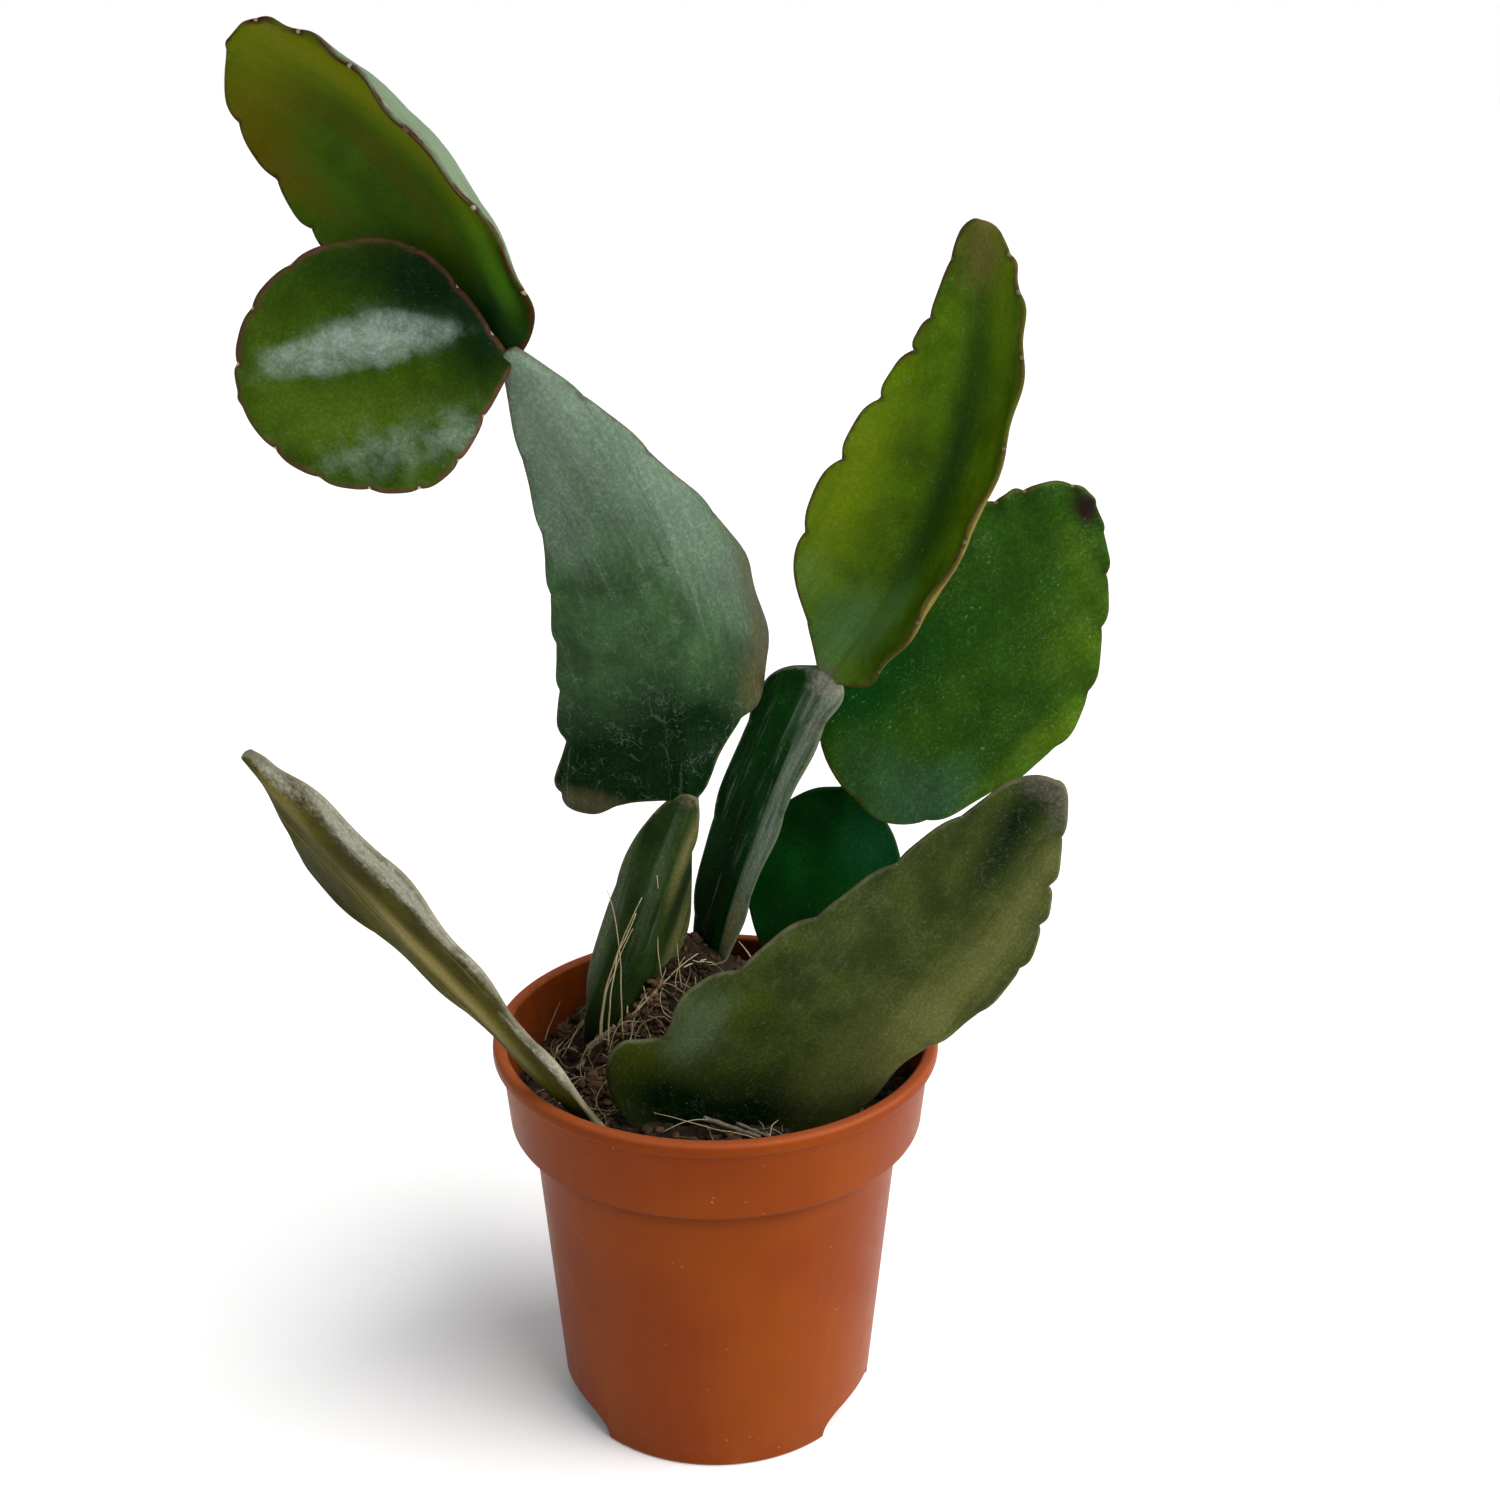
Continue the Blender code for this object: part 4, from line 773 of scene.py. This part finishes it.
def make_pad(name):
    """a fine pad: two faces with veins and low relief, which meet at a rounded margin"""
    pad = PADS[name]
    surface = PadSurface(pad)
    length = surface.length
    margin_run = max(wing_curve(pad, length, side)[1][-1] for side in (False, True))
    even = np.linspace(0, 1, int(margin_run / ROW_LENGTH) + 1)
    u = even - END_CROWDING * np.sin(2 * math.pi * even)
    half = 1 - (1 - np.linspace(0, 1, WING_COLUMNS + 1)) ** EDGE_CROWDING
    shares = np.concatenate([-half[:0:-1], half])
    size, on_right = np.abs(shares), shares > 0

    edges = [wing_edge(pad, length, side, u) for side in (False, True)]
    edge_along, edge_out = (np.where(on_right, right[:, None], left[:, None]) for left, right in zip(*edges))
    tip_width = NODE_HALF_WIDTH if pad.get("node") else TIP_HALF_WIDTH
    bulge = END_BULGE * tip_width * np.clip((u - (1 - BULGE_SPAN)) / BULGE_SPAN, 0, 1)
    along = (u * length)[:, None] * (1 - size) + edge_along * size + bulge[:, None] * (1 - shares ** 2)
    across = edge_out * shares

    sides = [np.stack([edges[0][0], -edges[0][1]], -1), np.stack(edges[1], -1)]
    tip = np.stack([along[-1], across[-1]], -1)
    outline = np.concatenate([sides[0], tip[1:-1], sides[1][::-1]])
    areoles = []
    for side, line in enumerate(sides):
        notches = wing_notches(pad, side)[0]
        notches = notches[(notches > NOTCHES_FROM / 2) & (notches < 1 - NOTCHES_TO)]
        areoles.append(np.stack([np.interp(notches, u, line[:, k]) for k in (0, 1)], -1))
    areoles = np.concatenate(areoles)
    places = np.stack([along.ravel(), across.ravel()], -1)
    edge = distance_to(places, outline[:-1], np.diff(outline, axis=0)).reshape(along.shape)
    areole = distance_to(places, areoles, 0 * areoles).reshape(along.shape)

    middle, normal = (grid.reshape(*along.shape, 3) for grid in surface.bend(along.ravel(), across.ravel()))
    thick = EDGE_HALF + (BODY_HALF - EDGE_HALF) * (1 - size ** 2)
    thick = thick + RIB_HALF * np.exp(-(across / RIB_WIDTH) ** 2)
    if pad.get("node"):
        near_tip = np.exp(-((length - along) / NODE_LENGTH) ** 2 - (across / NODE_WIDTH) ** 2)
        thick = thick + NODE_SWELL * near_tip
    pinch, turns = (np.where(on_right, *(rule(pad, side, u)[:, None] for side in (True, False)))
                    for rule in (lobe_pinch, lobe_turns))
    wave = np.sin(2 * math.pi * turns) * size ** 3 * MARGIN_WAVE * np.clip(u * WAVE_GROWTH, 0, 1)[:, None]
    middle = middle + normal * wave[..., None]
    vein = VEIN_DEPTH * pinch * np.clip((size - VEIN_FROM) / (1 - VEIN_FROM), 0, 1)
    rounding = np.sqrt(1 - (1 - np.clip(edge / EDGE_ROUND, 0, 1)) ** 2)
    place = np.stack([along, across, np.full(along.shape, len(name) * PAD_OFFSET)], -1)
    places = (place, place + (0, 0, BACK_OFFSET))
    grids = []
    for face, turn in zip(places, (1, -1)):
        relief = sum(height * noise_at(face.reshape(-1, 3), grain) for height, grain in RELIEF)
        relief = (relief.reshape(along.shape) - vein) * np.clip(edge / RELIEF_FROM, 0, 1)
        grids.append(middle + turn * normal * ((thick + relief) * rounding)[..., None])

    values = {"place": places, "edge": (edge, edge), "areole": (areole, areole)}
    for layer, (_, patches) in LOOKS[name]["layers"].items():
        values[layer] = tuple(patch_mask(patches, along, across, face) for face in ("front", "back"))
    points, faces, attributes = closed_sheet(*grids, values)
    return dress(add_piece(name + "_skin", points, faces, pad_material(name), attributes), name, name)


def closed_sheet(front, back, values):
    """points, faces and values of the body between two grids that meet at their sides and last row"""
    rows, columns = front.shape[:2]
    front_index = np.arange(rows * columns).reshape(rows, columns)
    back_index = front_index.copy()
    back_index[:-1, 1:-1] = rows * columns + np.arange((rows - 1) * (columns - 2)).reshape(rows - 1, -1)

    def joined(on_front, on_back):
        shape = (-1, 3) if on_front.ndim == 3 else (-1,)
        return np.concatenate([on_front.reshape(shape), on_back[:-1, 1:-1].reshape(shape)])

    faces = []
    for index, flipped in ((front_index, False), (back_index, True)):
        corners = [index[:-1, :-1], index[:-1, 1:], index[1:, 1:], index[1:, :-1]]
        quads = np.stack(corners, -1).reshape(-1, 4)
        faces += (quads[:, ::-1] if flipped else quads).tolist()
    faces.append(front_index[0, ::-1].tolist() + back_index[0, 1:-1].tolist())
    return joined(front, back), faces, {key: joined(*pair) for key, pair in values.items()}


# Pot
def inner_radius(z):
    """the inside of the pot's wall at a height"""
    collar_foot = POT_HEIGHT - COLLAR_HEIGHT
    if z >= collar_foot + WALL:
        share = (z - collar_foot) / (COLLAR_HEIGHT - LIP_HEIGHT)
        return COLLAR_FOOT_RADIUS + (COLLAR_TOP_RADIUS - COLLAR_FOOT_RADIUS) * share - WALL
    return FOOT_RADIUS + (BODY_TOP_RADIUS - FOOT_RADIUS) * z / collar_foot - WALL


def rounded(profile):
    """a profile of (radius, height, rounding) corners as points, with an arc at each rounded corner"""
    points = []
    for i, (r, z, rounding) in enumerate(profile):
        corner = np.array([r, z], float)
        if not rounding or i in (0, len(profile) - 1):
            points.append(corner)
            continue
        before = np.array(profile[i - 1][:2], float) - corner
        after = np.array(profile[i + 1][:2], float) - corner
        start = corner + unit(before) * min(rounding, np.linalg.norm(before) / 2)
        end = corner + unit(after) * min(rounding, np.linalg.norm(after) / 2)
        for k in range(CORNER_STEPS + 1):
            s = k / CORNER_STEPS
            points.append((1 - s) ** 2 * start + 2 * s * (1 - s) * corner + s ** 2 * end)
    return points


def pot_profile():
    step = POT_HEIGHT - COLLAR_HEIGHT
    lip_foot = POT_HEIGHT - LIP_HEIGHT
    return rounded([
        (0, 0, 0),
        (FOOT_RADIUS, 0, 1.0),
        (BODY_TOP_RADIUS, step, 0.8),
        (COLLAR_FOOT_RADIUS, step, 1.1),
        (COLLAR_TOP_RADIUS, lip_foot, 0.3),
        (LIP_RADIUS, lip_foot, 0.9),
        (LIP_RADIUS, POT_HEIGHT, 1.3),
        (LIP_INNER_RADIUS, POT_HEIGHT, 1.0),
        (inner_radius(lip_foot), lip_foot - CORNER, 0.5),
        (inner_radius(step + WALL), step + WALL, 0.8),
        (inner_radius(step), step + WALL, 0.6),
        (inner_radius(FLOOR), FLOOR, 1.2),
        (0, FLOOR, 0),
    ])


def turned(profile, steps):
    """points and faces of a closed body turned round the Z axis; the profile starts and ends on it"""
    ring = profile[1:-1]
    angles = 2 * math.pi * np.arange(steps) / steps
    points = [(r * math.cos(a), r * math.sin(a), z) for r, z in ring for a in angles]
    first, last, top = len(points), len(points) + 1, len(points) - steps
    points += [(0, 0, profile[0][1]), (0, 0, profile[-1][1])]
    faces = [(a, b, d, c) for a, c, d, b in ring_faces(0, len(ring), steps)]
    for i in range(steps):
        j = (i + 1) % steps
        faces += [(first, j, i), (last, top + i, top + j)]
    return points, faces


def drain_cutter():
    """an arched prism at each drain, through the foot of the wall and the edge of the floor"""
    bm = bmesh.new()
    for angle in DRAIN_ANGLES:
        outline = [(-DRAIN_WIDTH / 2, -CUTTER_MARGIN)]
        for i in range(DRAIN_ARCH_STEPS + 1):
            turn = math.pi * i / DRAIN_ARCH_STEPS
            aside = math.copysign(abs(math.cos(turn)) ** DRAIN_SQUARENESS, math.cos(turn))
            rise = abs(math.sin(turn)) ** DRAIN_SQUARENESS
            outline.append((-DRAIN_WIDTH / 2 * aside, DRAIN_HEIGHT * rise))
        outline.append((DRAIN_WIDTH / 2, -CUTTER_MARGIN))
        centre = math.radians(angle)
        outward = Vector((math.sin(centre), -math.cos(centre), 0))
        sideways = Vector((math.cos(centre), math.sin(centre), 0))
        rings = []
        for radius in (FOOT_RADIUS + CUTTER_MARGIN, FOOT_RADIUS - DRAIN_DEPTH):
            spots = [outward * radius + sideways * x + Vector((0, 0, z)) for x, z in outline]
            rings.append([bm.verts.new(spot * MM) for spot in spots])
        bm.faces.new(rings[0])
        bm.faces.new(reversed(rings[1]))
        bmesh.ops.bridge_loops(bm, edges=[e for e in bm.edges if e.is_boundary])
    bmesh.ops.recalc_face_normals(bm, faces=bm.faces)
    mesh = bpy.data.meshes.new("drains")
    bm.to_mesh(mesh)
    bm.free()
    return add_object("drains", mesh)


def make_pot():
    points, faces = turned(pot_profile(), POT_STEPS)
    flat = np.array(points)
    inner = np.array([inner_radius(z) + WALL / 2 for z in flat[:, 2]])
    inside = ((np.hypot(flat[:, 0], flat[:, 1]) < inner) & (flat[:, 2] > FLOOR / 2)).astype(float)
    pot = add_piece("pot_shell", points, faces, pot_material(), {"inside": inside})
    cutter = drain_cutter()
    modifier = pot.modifiers.new("drains", "BOOLEAN")
    modifier.operation = "DIFFERENCE"
    modifier.solver = "MANIFOLD"
    modifier.object = cutter
    with bpy.context.temp_override(object=pot):
        bpy.ops.object.modifier_apply(modifier=modifier.name)
    bpy.data.objects.remove(cutter, do_unlink=True)
    pot.data.set_sharp_from_angle(angle=math.radians(SHARP_ANGLE))
    return dress(pot, "pot", "pot")


# Soil
def soil_height(x, y):
    edge = inner_radius(SOIL_LEVEL)
    height = SOIL_LEVEL - SOIL_EDGE_DROP * (math.hypot(x, y) / edge) ** 6
    for mound_x, mound_y, rise, spread in SOIL_MOUNDS:
        height += rise * math.exp(-((x - mound_x) ** 2 + (y - mound_y) ** 2) / (2 * spread ** 2))
    for lump, size in SOIL_LUMPS:
        height += lump * noise.noise(Vector((x / size, y / size, size)))
    return height


def crumbled_height(x, y):
    height = soil_height(x, y)
    for lump, size in SOIL_CRUMBLE:
        height += lump * abs(noise.noise(Vector((x / size, y / size, 20 + size))))
    return height


def make_soil():
    """the root ball, with a crumbled top"""
    top = inner_radius(SOIL_LEVEL) - GAP / 2
    shelf = POT_HEIGHT - COLLAR_HEIGHT + WALL + GAP
    wall = inner_radius(shelf - WALL - GAP) - GAP
    rounds = [(math.cos(a), math.sin(a)) for a in 2 * math.pi * np.arange(SOIL_STEPS) / SOIL_STEPS]
    points = [(0, 0, crumbled_height(0, 0))]
    for ring in range(1, SOIL_RINGS + 1):
        radius = top * ring / SOIL_RINGS
        points += [(radius * c, radius * s, crumbled_height(radius * c, radius * s)) for c, s in rounds]
    sides = [(inner_radius(shelf + 1) - GAP, shelf + 1), (inner_radius(shelf) - 1, shelf), (wall, shelf),
             (wall, shelf - 1), (inner_radius(FLOOR + 1) - GAP, FLOOR + GAP + 1),
             (inner_radius(FLOOR) - 1, FLOOR + GAP)]
    for radius, z in sides:
        points += [(radius * c, radius * s, z) for c, s in rounds]
    faces = [(0, 1 + i, 1 + (i + 1) % SOIL_STEPS) for i in range(SOIL_STEPS)]
    faces += ring_faces(1, SOIL_RINGS + len(sides), SOIL_STEPS)
    faces.append(tuple(range(len(points) - 1, len(points) - SOIL_STEPS - 1, -1)))
    return dress(add_piece("soil", points, faces, soil_material()), "root_ball", "root_ball")


class Pile:
    """many small bodies gathered into one mesh, each with its own shade"""

    def __init__(self):
        self.points, self.faces, self.shades = [], [], []

    def add(self, points, faces, shade):
        start = len(self.points)
        self.points += [tuple(p) for p in points]
        self.faces += [tuple(start + i for i in face) for face in faces]
        self.shades += [shade] * len(points)

    def piece(self, name, material):
        return dress(add_piece(name, self.points, self.faces, material, {"shade": self.shades}), "root_ball")


def ball():
    """points and faces of a small round body"""
    bm = bmesh.new()
    bmesh.ops.create_icosphere(bm, subdivisions=2, radius=1.0)
    points = np.array([v.co for v in bm.verts])
    faces = [tuple(v.index for v in f.verts) for f in bm.faces]
    bm.free()
    return points, faces


def tube(path, radius, sides, taper=0.5):
    """points and faces of a thin tube along a path, which narrows to its end"""
    path = [Vector(p) for p in path]
    points = []
    for i, point in enumerate(path):
        heading = (path[min(i + 1, len(path) - 1)] - path[max(i - 1, 0)]).normalized()
        across = heading.cross(Vector((0.31, 0.17, 0.94))).normalized()
        up = across.cross(heading)
        width = radius * (1 - taper * i / (len(path) - 1))
        for k in range(sides):
            a = 2 * math.pi * k / sides
            points.append(point + (across * math.cos(a) + up * math.sin(a)) * width)
    ends = [tuple(range(sides)), tuple(range(len(points) - 1, len(points) - sides - 1, -1))]
    return points, ends + ring_faces(0, len(path), sides)


class Obstacles:
    """the pads, which loose matter on the soil keeps clear of"""

    def __init__(self, pieces):
        bm = bmesh.new()
        for piece in pieces:
            bm.from_mesh(piece.data)
        self.tree = BVHTree.FromBMesh(bm)
        bm.free()

    def meets(self, start, end, room):
        """whether the line from start to end, in millimetres, comes within room of a pad"""
        start, end = Vector(start) * MM, Vector(end) * MM
        if self.tree.find_nearest(end, room * MM)[0] is not None:
            return True
        return self.tree.ray_cast(start, end - start, (end - start).length)[0] is not None


def make_crumbs(obstacles):
    """crumbs of peat over the whole soil, and lumps of coir near the stems"""
    rng = random.Random(CRUMB_SEED)
    body, faces = ball()
    rim = inner_radius(SOIL_LEVEL) - RIM_ROOM
    spots = []
    while len(spots) < CRUMB_COUNT:
        radius, turn = rim * math.sqrt(rng.random()), rng.uniform(0, 2 * math.pi)
        x, y = radius * math.cos(turn), radius * math.sin(turn)
        spots.append((x, y, 0.2, rng.uniform(*CRUMB_SIZE), 0.45 * rng.random() ** 2))
    for x, y, spread, count, shade in LUMPS:
        for _ in range(count):
            dx, dy = rng.gauss(0, LUMP_SPREAD) * spread, rng.gauss(0, LUMP_SPREAD) * spread
            top = LUMP_HEIGHT * spread * max(0.0, 1 - (dx * dx + dy * dy) / spread ** 2)
            tone = min(1.0, shade * rng.uniform(0.45, 1.25))
            spots.append((x + dx, y + dy, rng.uniform(-0.2, 1.0) * top, rng.uniform(0.4, 1.2), tone))
    pile = Pile()
    for index, (x, y, rise, size, shade) in enumerate(spots):
        if math.hypot(x, y) + size > rim:
            continue
        centre = (x, y, soil_height(x, y) + rise + 0.25 * size)
        if obstacles.meets(centre, centre, size + 0.2):
            continue
        rough = 1 + 0.8 * noise_at(body * 1.2, 1.0, seed=index * 1.7)
        stretch = np.array([rng.uniform(0.45, 1.5), rng.uniform(0.45, 1.4), rng.uniform(0.4, 0.9)])
        shape = body * rough[:, None] * stretch * size
        pile.add(shape + centre, faces, shade)
    material = shade_material("crumb", (0.010, 0.008, 0.006), (0.155, 0.085, 0.042), 0.95)
    return pile.piece("crumbs", material)


def make_fibres(obstacles):
    """thin dry roots that lie on the soil, and those that stand up by the stems"""
    rng = random.Random(FIBRE_SEED)
    rim = inner_radius(SOIL_LEVEL) - RIM_ROOM
    pile = Pile()
    for count, thin, thick, dark, light in FIBRE_COUNTS:
        for _ in range(count):
            share = rng.random()
            for x, y, spread, part in FIBRE_CENTRES:
                share -= part
                if share < 0:
                    break
            spot = Vector((rng.gauss(x, spread), rng.gauss(y, spread)))
            heading = rng.uniform(0, 2 * math.pi)
            length = rng.uniform(*FIBRE_LENGTH)
            steps = int(length / FIBRE_STEP) + 3
            bow, turn = rng.uniform(0.3, 3.2), rng.gauss(0, 0.10)
            path = []
            for k in range(steps):
                if spot.length > rim:
                    break
                arc = bow * math.sin(math.pi * k / (steps - 1)) + 0.25
                point = (*spot, soil_height(*spot) + arc)
                if path and obstacles.meets(path[-1], point, 0.35):
                    break
                path.append(point)
                heading += turn + rng.gauss(0, 0.22)
                spot += Vector((math.cos(heading), math.sin(heading))) * length / steps
            if len(path) > 4 and not obstacles.meets(path[0], path[0], 0.4):
                pile.add(*tube(path, rng.uniform(thin, thick), sides=4), rng.uniform(dark, light))
    for radius, points in STRAWS:
        path = smooth_curve(points, samples_per_span=6)[::-1]
        sway = STRAW_SWAY * np.stack([noise_at(path + k * 31.0, 6.0) for k in range(3)], -1)
        pile.add(*tube(path + sway, STRAW_THICKNESS * radius, sides=6, taper=0.45), rng.uniform(0.75, 1.0))
    material = shade_material("dry_root", (0.030, 0.018, 0.009), (0.42, 0.35, 0.20), 0.75)
    return pile.piece("fibres", material)


def make_twigs():
    """short dry twigs with uneven bark"""
    rng = random.Random(TWIG_SEED)
    pile = Pile()
    for start_radius, end_radius, start, end in WOOD:
        start, end = Vector(start), Vector(end)
        path = [start.lerp(end, k / TWIG_STEPS) for k in range(TWIG_STEPS + 1)]
        points, faces = tube(path, start_radius, TWIG_SIDES, taper=1 - end_radius / start_radius)
        shape = np.array([tuple(p) for p in points])
        axis = np.repeat(np.array([tuple(p) for p in path]), TWIG_SIDES, axis=0)
        rough = 1 + 0.55 * noise_at(shape, 0.8)[:, None]
        pile.add(axis + (shape - axis) * rough, faces, rng.uniform(0.6, 1.0))
    material = shade_material("twig", (0.045, 0.034, 0.024), (0.20, 0.17, 0.125), 0.85)
    return pile.piece("twigs", material)


# Scene
def make_camera():
    data = bpy.data.cameras.new("camera")
    data.lens = CAMERA_LENS
    data.sensor_width = CAMERA_SENSOR
    camera = add_object("camera", data)
    camera.location = CAMERA_PLACE
    camera.rotation_euler = (math.radians(90 - CAMERA_PITCH), 0, 0)
    bpy.context.scene.camera = camera


def add_light(name, kind, place, aim):
    data = bpy.data.lights.new(name, kind)
    light = add_object(name, data)
    light.location = place
    light.rotation_euler = (Vector(aim) - Vector(place)).to_track_quat("-Z", "Y").to_euler()
    return data


def make_lights():
    for name, (place, aim, width, height, watts, colour) in SOFTBOXES.items():
        data = add_light(name, "AREA", place, aim)
        data.shape = "RECTANGLE"
        data.size = width
        data.size_y = height
        data.energy = watts
        data.color = colour
    for name, (place, strength, softness, colour) in SUNS.items():
        sun = add_light(name, "SUN", place, (0, 0, 0))
        sun.energy = strength
        sun.color = colour
        sun.angle = math.radians(softness)


def make_world():
    """a dim studio round the object, with a pale glow at the horizon that meets the floor"""
    world = bpy.data.worlds.new("studio")
    look = Look(world)
    direction = look.node("ShaderNodeTexCoord", {}, "Generated")
    height = look.node("ShaderNodeSeparateXYZ", {0: direction}, "Z")
    glow = look.step(height, 0.0, HORIZON_HEIGHT, 1.0, 0.0)
    look.fill(look.tree.nodes["Background"], {"Color": look.mix(glow, SKY_COLOUR, HORIZON_COLOUR)})
    bpy.context.scene.world = world
    bpy.context.scene.view_settings.view_transform = "Standard"


def make_floor():
    material = Look(bpy.data.materials.new("floor")).finish(FLOOR_COLOUR, 0.9)
    half = FLOOR_SIZE / 2 / MM
    corners = [(-half, -half, 0), (half, -half, 0), (half, half, 0), (-half, half, 0)]
    add_piece("floor", corners, [(0, 1, 2, 3)], material, smooth=False)


def main():
    make_camera()
    make_lights()
    make_world()
    make_floor()
    make_pot()
    make_soil()
    pads = [make_pad(name) for name in PADS]
    obstacles = Obstacles(pads)
    make_crumbs(obstacles)
    make_fibres(obstacles)
    make_twigs()


main()
